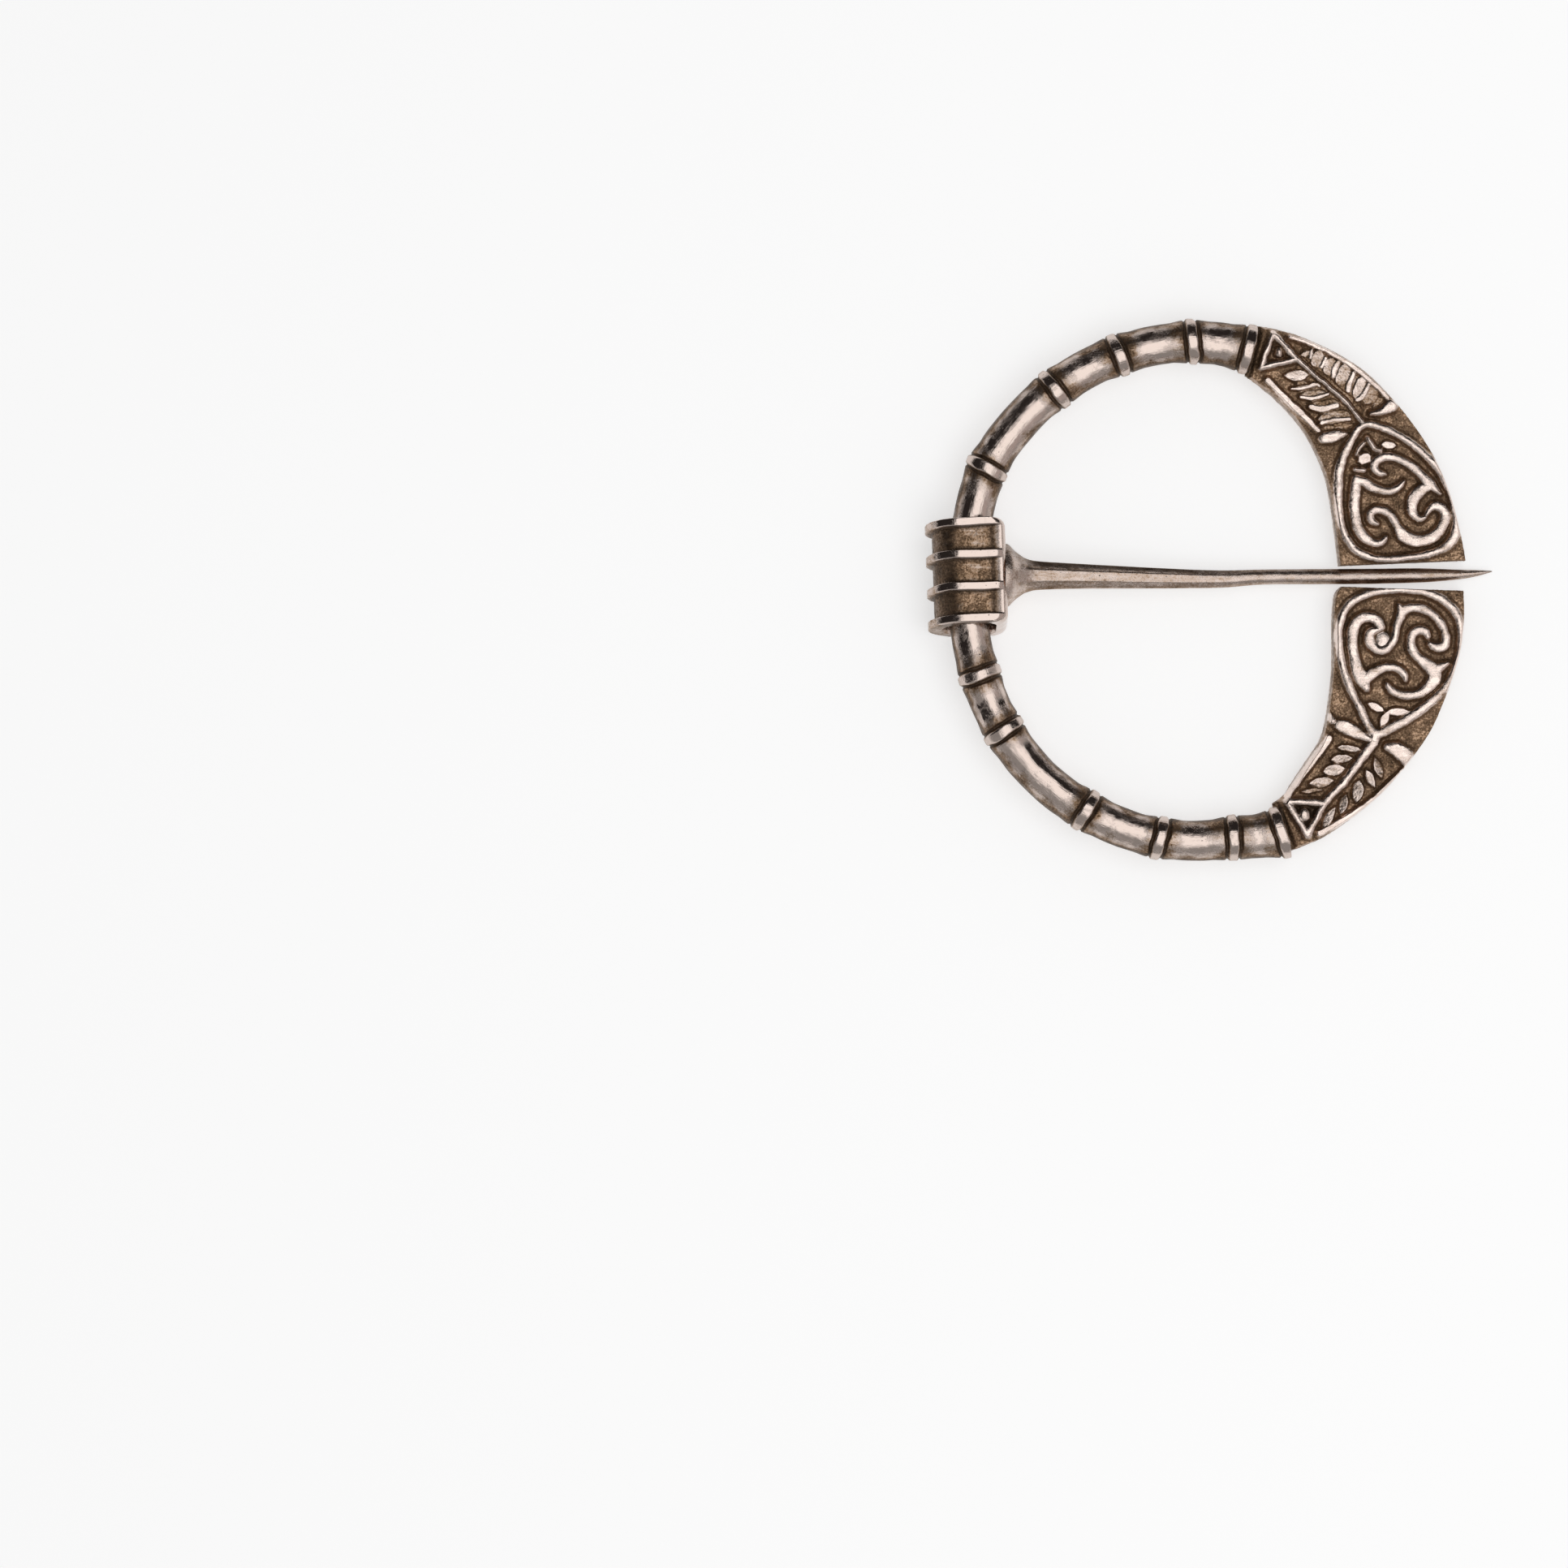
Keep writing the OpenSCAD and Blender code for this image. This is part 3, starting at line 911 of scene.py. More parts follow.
    def build(self, wear: bpy.types.NodeTree) -> bpy.types.Object:
        """Sweeps the hoop and wears it.

        Args:
            wear: The tree that dents and roughens a surface.

        Returns:
            The finished hoop.
        """
        normal = self.plane.turn(np.array([UP]))[0]
        sizes = {
            "Wire radius": self.plane.wire_r * MM,
            "Sides": self.sides,
            "Band half length": self.band_len / 2 * MM,
            "Band rise": self.band_rise * MM,
            "Groove width": self.groove_w * MM,
            "Groove depth": self.groove_depth * MM,
            "Swell": self.swell * MM,
            "Swell reach": self.swell_reach * MM,
            "Edge softness": self.edge_soft * MM,
            "Unevenness": self.uneven * MM,
            "Plane normal": tuple(normal),
            "Metal": self.metal,
        }
        hoop = run_tree(self.path(), self.tree(), sizes)
        return Wear(dent_mm=0.13, dents_per_m=420.0, grain_mm=0.03).give(hoop, wear, self.metal)


# The terminals' ornament, in millimetres in the ring's plane. Columns of outlines: x, y.
# Columns of raised lines: x, y, width. Columns of leaves: x, y, length, width, angle in
# degrees, bluntness of the ends, height, how far one long edge stands above the other, shine.
# Columns of dots: x, y, radius, height. A bed is a height and a broad line that the leaves lie on.


@dataclass(frozen=True)
class Ornament:
    """One terminal's outline and everything that is raised on it."""

    outer: Rows
    inner: Rows
    teardrop: Rows
    strokes: tuple[Rows, ...]
    borders: tuple[Rows, ...]
    beds: tuple[tuple[float, Rows], ...]
    leaves: Rows
    ridges: tuple[Rows, ...]
    triangle: Rows
    dots: Rows
    fatten: float
    darkening: float
    seed: float


UPPER = Ornament(
    outer=(
        (3.5, 21.8), (5.3, 21.5), (7.7, 20.8), (11.2, 19.1), (13.75, 17.15), (16.7, 13.75),
        (18.9, 10.2), (20.25, 6.5), (21.1, 2.45),
    ),
    inner=(
        (2.85, 17.6), (3.7, 17), (5.35, 15.8), (7.7, 13.15), (9.4, 9.7), (10.1, 6.3), (10.65, 2),
    ),
    teardrop=(
        (12.45, 13.55, 0.35), (11.55, 12.3, 0.4), (10.65, 10.2, 0.48), (10.45, 7.8, 0.5),
        (10.75, 5.3, 0.36), (11.7, 3.5, 0.36), (13.6, 2.6, 0.36), (16, 2.7, 0.3),
        (18.4, 3.1, 0.36), (19.85, 4.1, 0.6), (20.25, 5.6, 0.55), (19.85, 7.75, 0.45),
        (18.4, 10.3, 0.36), (16.2, 12.25, 0.36), (14, 13.4, 0.3),
    ),
    strokes=(
        (
            (14.3, 9.55, 0.12), (13.75, 9.65, 0.35), (13.4, 10.15, 0.45), (13.65, 10.65, 0.45),
            (14.4, 10.95, 0.45), (15.3, 10.85, 0.45), (16.3, 10.3, 0.45), (17.2, 9.6, 0.5),
            (17.95, 8.8, 0.55), (18.4, 8.35, 0.35), (18.8, 7.95, 0.1),
        ),
        (
            (18.1, 8.65, 0.5), (17.3, 8.25, 0.7), (16.7, 7.6, 0.75), (16.5, 6.75, 0.65),
            (16.75, 6.1, 0.45), (17.2, 5.85, 0.35), (17.6, 6, 0.12),
        ),
        (
            (11.95, 9.1, 0.5), (12.6, 8.9, 0.55), (13.3, 8.45, 0.5), (14.2, 8.15, 0.45),
            (15, 8.25, 0.4), (15.5, 8.55, 0.3), (15.8, 8.9, 0.1),
        ),
        (
            (11.95, 9.1, 0.5), (11.85, 8, 0.65), (11.8, 6.8, 0.65), (11.95, 5.5, 0.65),
            (12.4, 4.6, 0.6), (13.1, 4, 0.5), (13.8, 3.85, 0.4), (14.25, 4.1, 0.2),
            (14.4, 4.35, 0.1),
        ),
        (
            (13.65, 5.45, 0.15), (13.2, 5.75, 0.4), (13.1, 6.25, 0.45), (13.5, 6.6, 0.45),
            (14.2, 6.55, 0.4), (14.85, 6.05, 0.45), (15.3, 5.3, 0.5), (15.8, 4.55, 0.8),
            (16.6, 4.15, 0.8), (17.5, 4.1, 0.7), (18.4, 4.5, 0.65), (19.05, 5.3, 0.6),
            (19.3, 6.1, 0.6), (19, 6.75, 0.55), (18.4, 6.9, 0.5), (17.95, 6.6, 0.3),
            (17.75, 6.3, 0.12),
        ),
        ((12.85, 12.5, 0.1), (13.15, 12.05, 0.22), (13.5, 11.6, 0.24), (13.95, 11.5, 0.12)),
        ((12.55, 12.1, 0.1), (12.2, 11.65, 0.15), (11.95, 11.2, 0.1)),
        ((11.8, 9.95, 0.08), (12.6, 9.85, 0.12)),
        (
            (7.1, 18.95, 0.2), (8.55, 17.65, 0.15), (10.4, 16.1, 0.16), (11.4, 15.1, 0.16),
            (12.35, 13.9, 0.2),
        ),
        ((9.3, 12.5, 0.6), (9.8, 12.55, 0.75), (10.5, 12.75, 0.55), (11, 12.85, 0.2)),
        ((13.2, 14.45, 0.1), (14.1, 14.7, 0.35), (14.8, 15.1, 0.85)),
    ),
    borders=(
        ((4.65, 17.2, 0.24), (6.3, 15.55, 0.28), (7.45, 14.5, 0.28), (8.75, 13.15, 0.2)),
        ((6.5, 20.8, 0.1), (9.4, 19.7, 0.16), (12.1, 18.05, 0.18), (14.5, 15.85, 0.16)),
    ),
    beds=(
        (0.34, (
            (7.9, 19.4, 0.5), (9.1, 18.7, 1.1), (10.5, 17.8, 1.25), (12, 16.6, 1.4),
            (13.1, 15.95, 1.1),
        )),
        (0.26, ((7.5, 16.75, 0.8), (8.6, 16, 1.0), (9.6, 15, 1.3), (10.3, 14.1, 1.1))),
        (0.2, ((7.25, 18.3, 0.1), (8.6, 17.1, 0.14), (10.2, 15.7, 0.14), (11.8, 14.2, 0.1))),
        (0.2, ((7.6, 19.15, 0.1), (9.1, 17.9, 0.14), (10.6, 16.6, 0.14), (12.2, 14.9, 0.1))),
    ),
    leaves=(
        (7.05, 17.62, 2.0, 0.85, 2, 2.2, 0.46, -0.1, 0.95),
        (7.75, 16.66, 2.3, 0.36, 8, 2.4, 0.4, 0.1, 0.5),
        (8.55, 16.08, 2.3, 0.66, 2, 3, 0.36, -0.08, 0.5),
        (9.3, 15.22, 2.4, 0.74, 8, 5, 0.4, -0.06, 0.36),
        (10.15, 14.2, 2.7, 0.95, 8, 5, 0.38, -0.08, 0.52),
        (10.4, 13.45, 2.4, 0.4, 8, 4, 0.2, 0, 0.4),
        (7.8, 19.42, 0.9, 0.32, 15, 3, 0.4, 0, 0.8), (8.75, 19, 1.4, 0.86, 66, 5, 0.42, 0.16, 0.62),
        (9.75, 18.35, 1.5, 0.9, 68, 5, 0.42, 0.16, 0.72),
        (10.85, 17.7, 1.9, 0.96, 70, 5, 0.42, 0.16, 0.66),
        (12.17, 16.65, 1.9, 0.76, 68, 5, 0.42, 0.12, 0.7),
        (13.1, 16, 1.7, 0.8, 58, 6, 0.36, 0, 0.42),
        (13.8, 15.5, 1.2, 0.3, 45, 3, 0.26, 0, 0.4),
        (14.6, 11.92, 1.2, 0.5, -8, 4, 0.48, 0, 1), (12.62, 10.8, 1.15, 0.72, 22, 6, 0.48, 0, 1),
    ),
    ridges=(
        ((8.3, 19.7, 0.1), (8.15, 19.1, 0.12)), ((9.4, 19, 0.14), (9.05, 18.35, 0.12)),
        ((10.45, 18.7, 0.2), (10.12, 18.1, 0.26), (10.05, 17.55, 0.2)),
        ((11.7, 17.8, 0.18), (11.38, 17, 0.3), (11.28, 16.4, 0.24)),
        ((12.95, 16.9, 0.14), (12.7, 16.3, 0.18), (12.3, 15.8, 0.2), (11.95, 15.62, 0.1)),
        ((6.6, 16.55, 0.05), (7.5, 16.55, 0.12), (8.5, 16.9, 0.14), (8.9, 16.75, 0.06)),
        ((7.4, 15.87, 0.08), (8.2, 15.75, 0.14), (9, 15.93, 0.14), (9.65, 16.12, 0.06)),
        ((8.2, 15.05, 0.26), (9, 14.85, 0.34), (10.35, 15.15, 0.26)),
        ((9.1, 13.7, 0.14), (10, 13.98, 0.12), (11.4, 14.05, 0.08)),
    ),
    triangle=((5.1, 21.1), (4.1, 18.25), (7.05, 18.95)),
    dots=((5.58, 19.62, 0.17, 0.5),),
    fatten=0.05,
    darkening=0.35,
    seed=1.0,
)

LOWER = Ornament(
    outer=(
        (6.4, -21.5), (8, -20.9), (10, -19.9), (14.05, -16.8), (17.6, -12.5), (19.3, -9.1),
        (20.6, -5.25), (20.95, -2.3), (20.9, 0),
    ),
    inner=(
        (5.1, -17.5), (6.2, -16.6), (7.8, -14.25), (9.25, -11.9), (9.85, -8.8), (10.1, -6),
        (10.1, -2.6), (10.3, -0.4), (10.8, 0.33),
    ),
    teardrop=(
        (13.45, -11.75, 0.4), (15, -11.2, 0.45), (17, -10, 0.45), (19.2, -8.1, 0.36),
        (20.25, -6, 0.3), (20.6, -3.6, 0.3), (20.1, -1.8, 0.36), (18.7, -0.55, 0.36),
        (16.8, 0, 0.3), (14.7, 0, 0.3), (12.6, -0.4, 0.32), (11.1, -1.5, 0.32),
        (10.5, -3.4, 0.36), (10.7, -5.6, 0.36), (11.4, -7.9, 0.36), (12.4, -9.9, 0.36),
    ),
    strokes=(
        (
            (14, -3, 0.35), (13.65, -2.45, 0.5), (12.95, -2.2, 0.55), (12.2, -2.4, 0.55),
            (11.75, -3.1, 0.6), (11.6, -4.2, 0.55), (11.75, -5.3, 0.55), (12, -6.3, 0.65),
            (12.35, -7.2, 0.85), (12.8, -8.05, 0.25),
        ),
        (
            (12.5, -7.4, 0.8), (13.3, -6.8, 0.6), (14.05, -6.4, 0.45), (14.85, -6.3, 0.4),
            (15.5, -6.55, 0.4), (15.9, -7, 0.3), (16, -7.35, 0.12),
        ),
        (
            (13.75, -3.2, 0.15), (13.15, -3.5, 0.4), (13, -4.05, 0.55), (13.4, -4.7, 0.5),
            (14.1, -4.95, 0.4), (14.75, -4.55, 0.35), (15.1, -3.9, 0.35), (15.25, -3.1, 0.35),
            (15.5, -2.3, 0.45), (15.8, -1.7, 0.5), (16.6, -1.4, 0.4), (17.6, -1.6, 0.45),
            (18.5, -2.2, 0.4), (19.05, -2.95, 0.4), (19.3, -3.75, 0.4), (19.25, -4.4, 0.5),
            (18.85, -4.7, 0.45), (18.35, -4.6, 0.3), (18, -4.4, 0.12),
        ),
        ((15.5, -1.25, 0.15), (15.7, -1.7, 0.5), (15.55, -2.3, 0.4)),
        (
            (17.85, -3.8, 0.15), (17.65, -3.4, 0.35), (17.15, -3.25, 0.4), (16.65, -3.5, 0.4),
            (16.45, -4.05, 0.4), (16.55, -4.8, 0.5), (17, -5.45, 0.5), (17.6, -5.95, 0.6),
            (18.3, -6.5, 0.8), (18.4, -7.2, 0.8), (18.05, -7.8, 0.6), (17.45, -8.3, 0.5),
            (16.7, -8.6, 0.4), (15.85, -8.6, 0.4), (15.05, -8.35, 0.35), (14.65, -7.95, 0.25),
            (14.5, -7.7, 0.12),
        ),
        ((18.2, -6.6, 0.7), (18.9, -6.3, 0.4), (19.4, -6.05, 0.12)),
        (
            (9.35, -17.4, 0.25), (10.8, -15.9, 0.3), (12.1, -14.2, 0.36), (13.4, -12.4, 0.5),
            (13.5, -11.7, 0.4),
        ),
        ((10.6, -11.05, 0.6), (11.1, -11.25, 0.8), (11.9, -11.65, 0.6), (13, -12.2, 0.2)),
        ((14.5, -12.85, 0.3), (15.3, -13.1, 0.9), (16, -13.6, 1.0), (16.25, -14.1, 0.6)),
        ((9.65, -10.35, 0.2), (10, -10.7, 0.3)),
    ),
    borders=(
        ((6.3, -16.85, 0.22), (7.6, -15, 0.26), (8.9, -13.3, 0.28), (9.7, -12.15, 0.3)),
        ((8.9, -19.95, 0.16), (11.2, -18.7, 0.22), (13.6, -17, 0.24), (15.75, -14.95, 0.2)),
    ),
    beds=(),
    leaves=(
        (11.33, -12.99, 1.9, 0.42, -6, 5, 0.42, 0.14, 0.8),
        (10.72, -13.83, 1.75, 0.62, 2, 3, 0.44, 0.2, 0.8),
        (10.1, -14.75, 1.8, 0.88, 8, 2.6, 0.44, 0.22, 0.74),
        (9.11, -15.75, 2.0, 0.74, 8, 2.4, 0.4, 0.2, 0.7),
        (8.3, -16.43, 1.7, 0.3, 4, 2.2, 0.34, 0, 0.6),
        (13.74, -14.56, 1.8, 0.62, -70, 2.4, 0.44, -0.2, 0.7),
        (13.09, -15.44, 1.6, 0.54, -63, 2.6, 0.5, 0.1, 1),
        (12.06, -16.47, 1.85, 0.85, 80, 2.6, 0.46, -0.22, 0.84),
        (10.87, -17.54, 1.65, 0.64, 76, 2.4, 0.42, -0.2, 0.74),
        (9.68, -18.69, 2.05, 0.6, 62, 2.2, 0.4, -0.16, 0.7),
        (13.52, -9.58, 1.5, 0.56, -25, 2.6, 0.48, 0, 1),
        (15.35, -9.97, 1.9, 0.56, 3, 2.4, 0.48, 0.1, 0.95),
        (14.27, -10.58, 1.45, 0.66, 60, 2, 0.48, 0, 1),
    ),
    ridges=(),
    triangle=((6.2, -17.3), (9.3, -17.45), (7.95, -20.1)),
    dots=((7.7, -18.33, 0.25, 0.52), (14.13, -3.97, 0.42, 0.36)),
    fatten=0.085,
    darkening=0.8,
    seed=2.0,
)


@dataclass
class Relief:
    """The raised ornament as a height above the ground at flat points."""

    points: np.ndarray
    fatten: float
    slope: float = 0.3
    leaf_slope: float = 0.18
    side_curve: float = 1.6
    side_drop: float = 0.3
    shine_fade: float = 2.5
    least_half: float = 0.04
    least_leaf: float = 0.05
    height: np.ndarray = field(init=False)
    shine: np.ndarray = field(init=False)

    def __post_init__(self) -> None:
        """Starts with flat ground."""
        self.height = np.zeros(len(self.points))
        self.shine = np.zeros(len(self.points))

    def raise_to(
        self, where: np.ndarray, inside: np.ndarray, level: np.ndarray, slope: float,
        shine: Union[np.ndarray, float],
    ) -> None:
        """Raises some points to a level, with sides that round over at the top.

        Args:
            where: Which points.
            inside: How far inside the raised shape each one lies.
            level: The height of the shape's top.
            slope: The width of its sides.
            shine: How bright its top is worn, which fades down its sides.
        """
        out = np.clip(-inside / slope, 0, 1)
        share = (1 - out**self.side_curve) * (1 - self.side_drop * out)
        rise = level * share
        higher = rise > self.height[where]
        self.height[where[higher]] = rise[higher]
        self.shine[where[higher]] = (shine * share**self.shine_fade)[higher]

    def stroke(
        self, rows: np.ndarray, level: float, crown: float = 0.07, closed: bool = False,
        shine: float = 1.0, steep: bool = False,
    ) -> None:
        """Raises a line of changing width.

        Args:
            rows: Points of the line with its width.
            level: Its height.
            crown: How much its middle stands over its edges.
            closed: Whether it runs back to its start.
            shine: How bright it is worn.
            steep: Whether its sides are as steep as a leaf's.
        """
        slope = self.leaf_slope if steep else self.slope
        reach = rows[:, 2].max() / 2 + slope
        low, high = rows[:, :2].min(axis=0) - reach, rows[:, :2].max(axis=0) + reach
        where = np.flatnonzero(np.all((self.points > low) & (self.points < high), axis=1))
        points = self.points[where]
        inside = np.full(len(where), -slope)
        share = np.zeros(len(where))
        ends = np.roll(rows, -1, axis=0) if closed else rows[1:]
        for a, b in zip(rows, ends):
            along = b[:2] - a[:2]
            offset = points - a[:2]
            t = np.clip(offset @ along / max(along @ along, 1e-9), 0, 1)
            half = np.maximum((a[2] + (b[2] - a[2]) * t) / 2 + self.fatten, self.least_half)
            depth = half - np.linalg.norm(offset - t[:, None] * along, axis=1)
            better = depth > inside
            inside[better] = depth[better]
            share[better] = np.clip(depth[better] / half[better], 0, 1)
        self.raise_to(where, inside, level + crown * share * (2 - share), slope, shine)

    def leaf(self, row: tuple[float, ...]) -> None:
        """Raises a leaf with a tilted top.

        Args:
            row: Its x, y, length, width, angle, bluntness, height, tilt and shine.
        """
        x, y, length, width, angle, blunt, level, tilt, shine = row
        offset = self.points - np.array([x, y])
        reach = (length + width) / 2 + self.slope
        where = np.flatnonzero(np.linalg.norm(offset, axis=1) < reach)
        turn = math.radians(angle)
        u = offset[where] @ np.array([math.cos(turn), math.sin(turn)])
        v = offset[where] @ np.array([-math.sin(turn), math.cos(turn)])
        share = np.clip(np.abs(2 * u / length), 0, 1)
        half = width / 2 * (1 - share**blunt)
        inside = np.minimum(half - np.abs(v), length / 2 - np.abs(u))
        top = level + tilt * np.clip(v / width, -0.5, 0.5)
        # The top is worn brighter towards its higher edge, which is also a painted shading of its
        # tilt
        bright = shine * top / level
        self.raise_to(where, inside, np.maximum(top, self.least_leaf), self.leaf_slope, bright)


# A plate's wall and back edge, from the top down. Columns: share of the rim's height, inset,
# and how much narrower each side is at the hoop.
WALLS = (
    (0.8, 0.0, 0.1), (0.55, 0.0, 0.3), (0.3, 0.0, 0.6), (0.14, 0.04, 0.9), (0.05, 0.12, 1.1),
    (0.0, 0.26, 1.3),
)


@dataclass
class Terminal:
    """One flat end of the ring: a plate with bevelled edges and raised ornament."""

    name: str
    plane: RingPlane
    metal: bpy.types.Material
    ornament: Ornament
    rows: int = 400
    columns: int = 190
    back_columns: int = 10
    ground: float = 2.14
    crest: float = 2.74
    edge_z: float = 1.45
    inner_bevel: float = 0.5
    outer_bevel: float = 0.36
    gap_bevel: float = 0.14
    gap_rise: float = 0.35
    bevel_rise: float = 0.06
    bevel_curve: float = 0.75
    neck_bevel: float = 0.9
    neck_reach: float = 1.6
    neck_crown: float = 0.25
    neck_groove: float = 0.4
    groove_run: tuple[float, float] = (0.45, 0.8)
    groove_shade: float = 0.7
    groove_hollow: float = 0.6
    neck_round: float = 2.6
    corner_reach: float = 1.0
    coarse_size: float = 0.9
    coarse_shake: float = 0.07
    fine_size: float = 0.28
    fine_shake: float = 0.035
    bed_shine: float = 0.28
    stroke_z: float = 0.52
    frame_z: float = 0.5
    frame_w: float = 0.24
    ridge_z: float = 0.47
    shine_share: float = 0.68
    slope_relief: float = 0.24
    hollow_reach: int = 6
    hollow_depth: float = 0.42
    triangle_inset: float = 0.2
    wall_relief: float = 0.3
    back_relief: float = 0.45

    def grid(self) -> np.ndarray:
        """Flat points from the hoop to the opening and from the inner to the outer edge.

        Returns:
            A grid of points in millimetres.
        """
        places = np.linspace(0, 1, self.rows + 1)
        inner = spread(smooth(self.ornament.inner, 8), places)
        outer = spread(smooth(self.ornament.outer, 8), places)
        across = np.linspace(0, 1, self.columns + 1)[None, :, None]
        return inner[:, None] * (1 - across) + outer[:, None] * across

    def relief(self, flat: np.ndarray) -> tuple[np.ndarray, np.ndarray]:
        """Works out the ornament's height over the ground and how bright it is worn.

        Args:
            flat: Flat points in the ring's plane.

        Returns:
            A height in millimetres and a brightness for each point.
        """
        art, seed = self.ornament, self.ornament.seed
        coarse = np.column_stack([wobble(flat, self.coarse_size, seed + n) for n in (0, 7)])
        fine = np.column_stack([wobble(flat, self.fine_size, seed + n) for n in (3, 11)])
        made = Relief(flat + coarse * self.coarse_shake + fine * self.fine_shake, art.fatten)
        for level, rows in art.beds:
            made.stroke(smooth(rows, 3), level, 0.0, shine=self.bed_shine)
        for rows in art.borders:
            made.stroke(smooth(rows, 3), self.stroke_z, 0.0)
        for row in art.leaves:
            made.leaf(row)
        for rows in art.ridges:
            made.stroke(smooth(rows, 3), self.ridge_z, 0.0, steep=True)
        for rows in art.strokes:
            made.stroke(smooth(rows, 3), self.stroke_z)
        made.stroke(smooth(art.teardrop, 4, True), self.frame_z, closed=True)
        corners = np.array([(x, y, self.frame_w) for x, y in art.triangle])
        for side in zip(corners, np.roll(corners, -1, axis=0)):
            made.stroke(np.array(side), self.frame_z)
        for x, y, r, level in art.dots:
            made.stroke(np.array([(x, y, 2 * r), (x, y - r, 2 * r)]), level, 0.1)
        return made.height, made.shine

    def surface(self) -> tuple[np.ndarray, np.ndarray, np.ndarray]:
        """Works out the plate's whole upper face.

        Returns:
            The points in the ring's plane, the relief from 0 to 1, and the hollowness.
        """
        net = self.grid()
        flat = net.reshape(-1, 2)
        height, shine = self.relief(flat)
        width = np.linalg.norm(net[:, -1] - net[:, 0], axis=1)[:, None]
        across = np.linspace(0, 1, self.columns + 1)[None, :]
        run = lengths_along(net[:, self.columns // 2])
        neck = np.exp(-run / self.neck_reach)[:, None]
        crown = self.neck_crown * neck * (1 - (2 * across - 1) ** 2)
        grooved = (1 - ease(*self.groove_run, run))[:, None]
        top = self.ground + height.reshape(net.shape[:2]) + crown - self.neck_groove * grooved
        cap = np.minimum(
            self.cap(across * width, self.inner_bevel + self.neck_bevel * neck),
            self.cap((1 - across) * width, self.outer_bevel + self.neck_bevel * neck),
        )
        to_gap = (run[-1] - run)[:, None]
        cap = np.minimum(cap, self.cap(to_gap, self.gap_bevel) + self.gap_rise)
        z = np.minimum(top, cap)
        level = self.shine_share * shine.reshape(z.shape) * (1 - self.groove_shade * grooved)
        level = np.maximum(level, self.slope_relief * ease(0.0, 0.12, top - cap))
        # Low ground beside the raised ornament is darkened from the blurred height: patina in the
        # hollows and painted shade at the feet of the slopes
        below = self.blurred(z, self.hollow_reach) - z
        hollow = np.clip((below - 0.02) / self.hollow_depth, 0, 1)
        hollow = np.maximum(hollow, self.groove_hollow * grooved)
        # The ground well inside the triangle is darkened
        darkening = self.ornament.darkening * self.in_triangle(flat).reshape(z.shape) * (1 - level)
        hollow = np.maximum(hollow, darkening)
        return np.column_stack([flat, z.ravel()]), level.ravel(), hollow.ravel()

    def in_triangle(self, flat: np.ndarray) -> np.ndarray:
        """Says which points lie well inside the triangle, as 1 or 0.

        Args:
            flat: Flat points in the ring's plane.

        Returns:
            One number for each point.
        """
        corners = np.array(self.ornament.triangle)
        sides = []
        for a, b in zip(corners, np.roll(corners, -1, axis=0)):
            along = unit(b - a)
            sides.append(along[0] * (flat[:, 1] - a[1]) - along[1] * (flat[:, 0] - a[0]))
        sides, inset = np.array(sides), self.triangle_inset
        inside = (sides > inset).all(axis=0) | (sides < -inset).all(axis=0)
        return inside.astype(float)

    def cap(self, depth: np.ndarray, bevel: np.ndarray) -> np.ndarray:
        """The highest that the plate may stand at some distance from its edge.

        Args:
            depth: The distance from the edge.
            bevel: The width of the bevel there.

        Returns:
            A height in millimetres for each distance.
        """
        share = np.clip(depth / bevel, 0, 1)
        rise = self.crest + self.bevel_rise - self.edge_z
        return self.edge_z + rise * (share * (2 - share)) ** self.bevel_curve

    @staticmethod
    def blurred(grid: np.ndarray, reach: int) -> np.ndarray:
        """Averages a grid over a square of cells.

        Args:
            grid: The grid's values.
            reach: How many cells the square reaches each way.

        Returns:
            The averaged grid.
        """
        kernel = np.ones(2 * reach + 1) / (2 * reach + 1)
        for axis in (0, 1):
            margins = [(reach, reach) if a == axis else (0, 0) for a in (0, 1)]
            padded = np.pad(grid, margins, "edge")
            grid = np.apply_along_axis(np.convolve, axis, padded, kernel, "valid")
        return grid

    def edge_loop(self) -> np.ndarray:
        """The numbers of the grid's points round its edge, in order.

        Returns:
            Each number once, from the corner between the hoop and the inner edge.
        """
        rows, columns = self.rows, self.columns
        number = np.arange((rows + 1) * (columns + 1)).reshape(rows + 1, columns + 1)
        return np.concatenate([
            number[:-1, 0], number[-1, :-1], number[:0:-1, -1], number[0, :0:-1],
        ])

    def build(self, wear: bpy.types.NodeTree) -> bpy.types.Object:
        """Builds the plate with its walls and back as one closed mesh, and wears it.

        Args:
            wear: The tree that dents and roughens a surface.

        Returns:
            The finished terminal.
        """
        points, level, hollow = self.surface()
        number = np.arange(len(points)).reshape(self.rows + 1, self.columns + 1)
        faces = net_faces(number)
        loop = self.edge_loop()
        rim = points[loop]
        inward = self.inward(rim[:, :2])
        row = loop // (self.columns + 1)
        inner, outer = points[number[row, 0], :2], points[number[row, -1], :2]
        middle, width = (inner + outer) / 2, np.linalg.norm(inner - outer, axis=1)
        run = lengths_along(points[number[:, self.columns // 2], :2])
        neck = 1 - ease(0, self.neck_round, run[row])
        blocks, last = [points], loop
        for share, inset, narrow in WALLS:
            narrower = (1 - 2 * narrow * neck / width)[:, None]
            flat = middle + (rim[:, :2] + inward * inset - middle) * narrower
            here = sum(map(len, blocks)) + np.arange(len(rim))
            blocks.append(np.column_stack([flat, rim[:, 2] * share]))
            faces += np.column_stack([last, np.roll(last, -1), np.roll(here, -1), here]).tolist()
            last = here
        self.close_back(faces, blocks, last)
        walls, back = len(WALLS) * len(rim), len(blocks[-1])
        values = {
            "relief": np.concatenate([
                level, np.full(walls, self.wall_relief), np.full(back, self.back_relief),
            ]),
            "hollow": np.concatenate([hollow, np.zeros(walls + back)]),
        }
        piece = new_piece(self.name, self.plane.to_frame(np.concatenate(blocks)), faces, values)
        return Wear(seed=self.ornament.seed, dent_mm=0.03).give(piece, wear, self.metal)

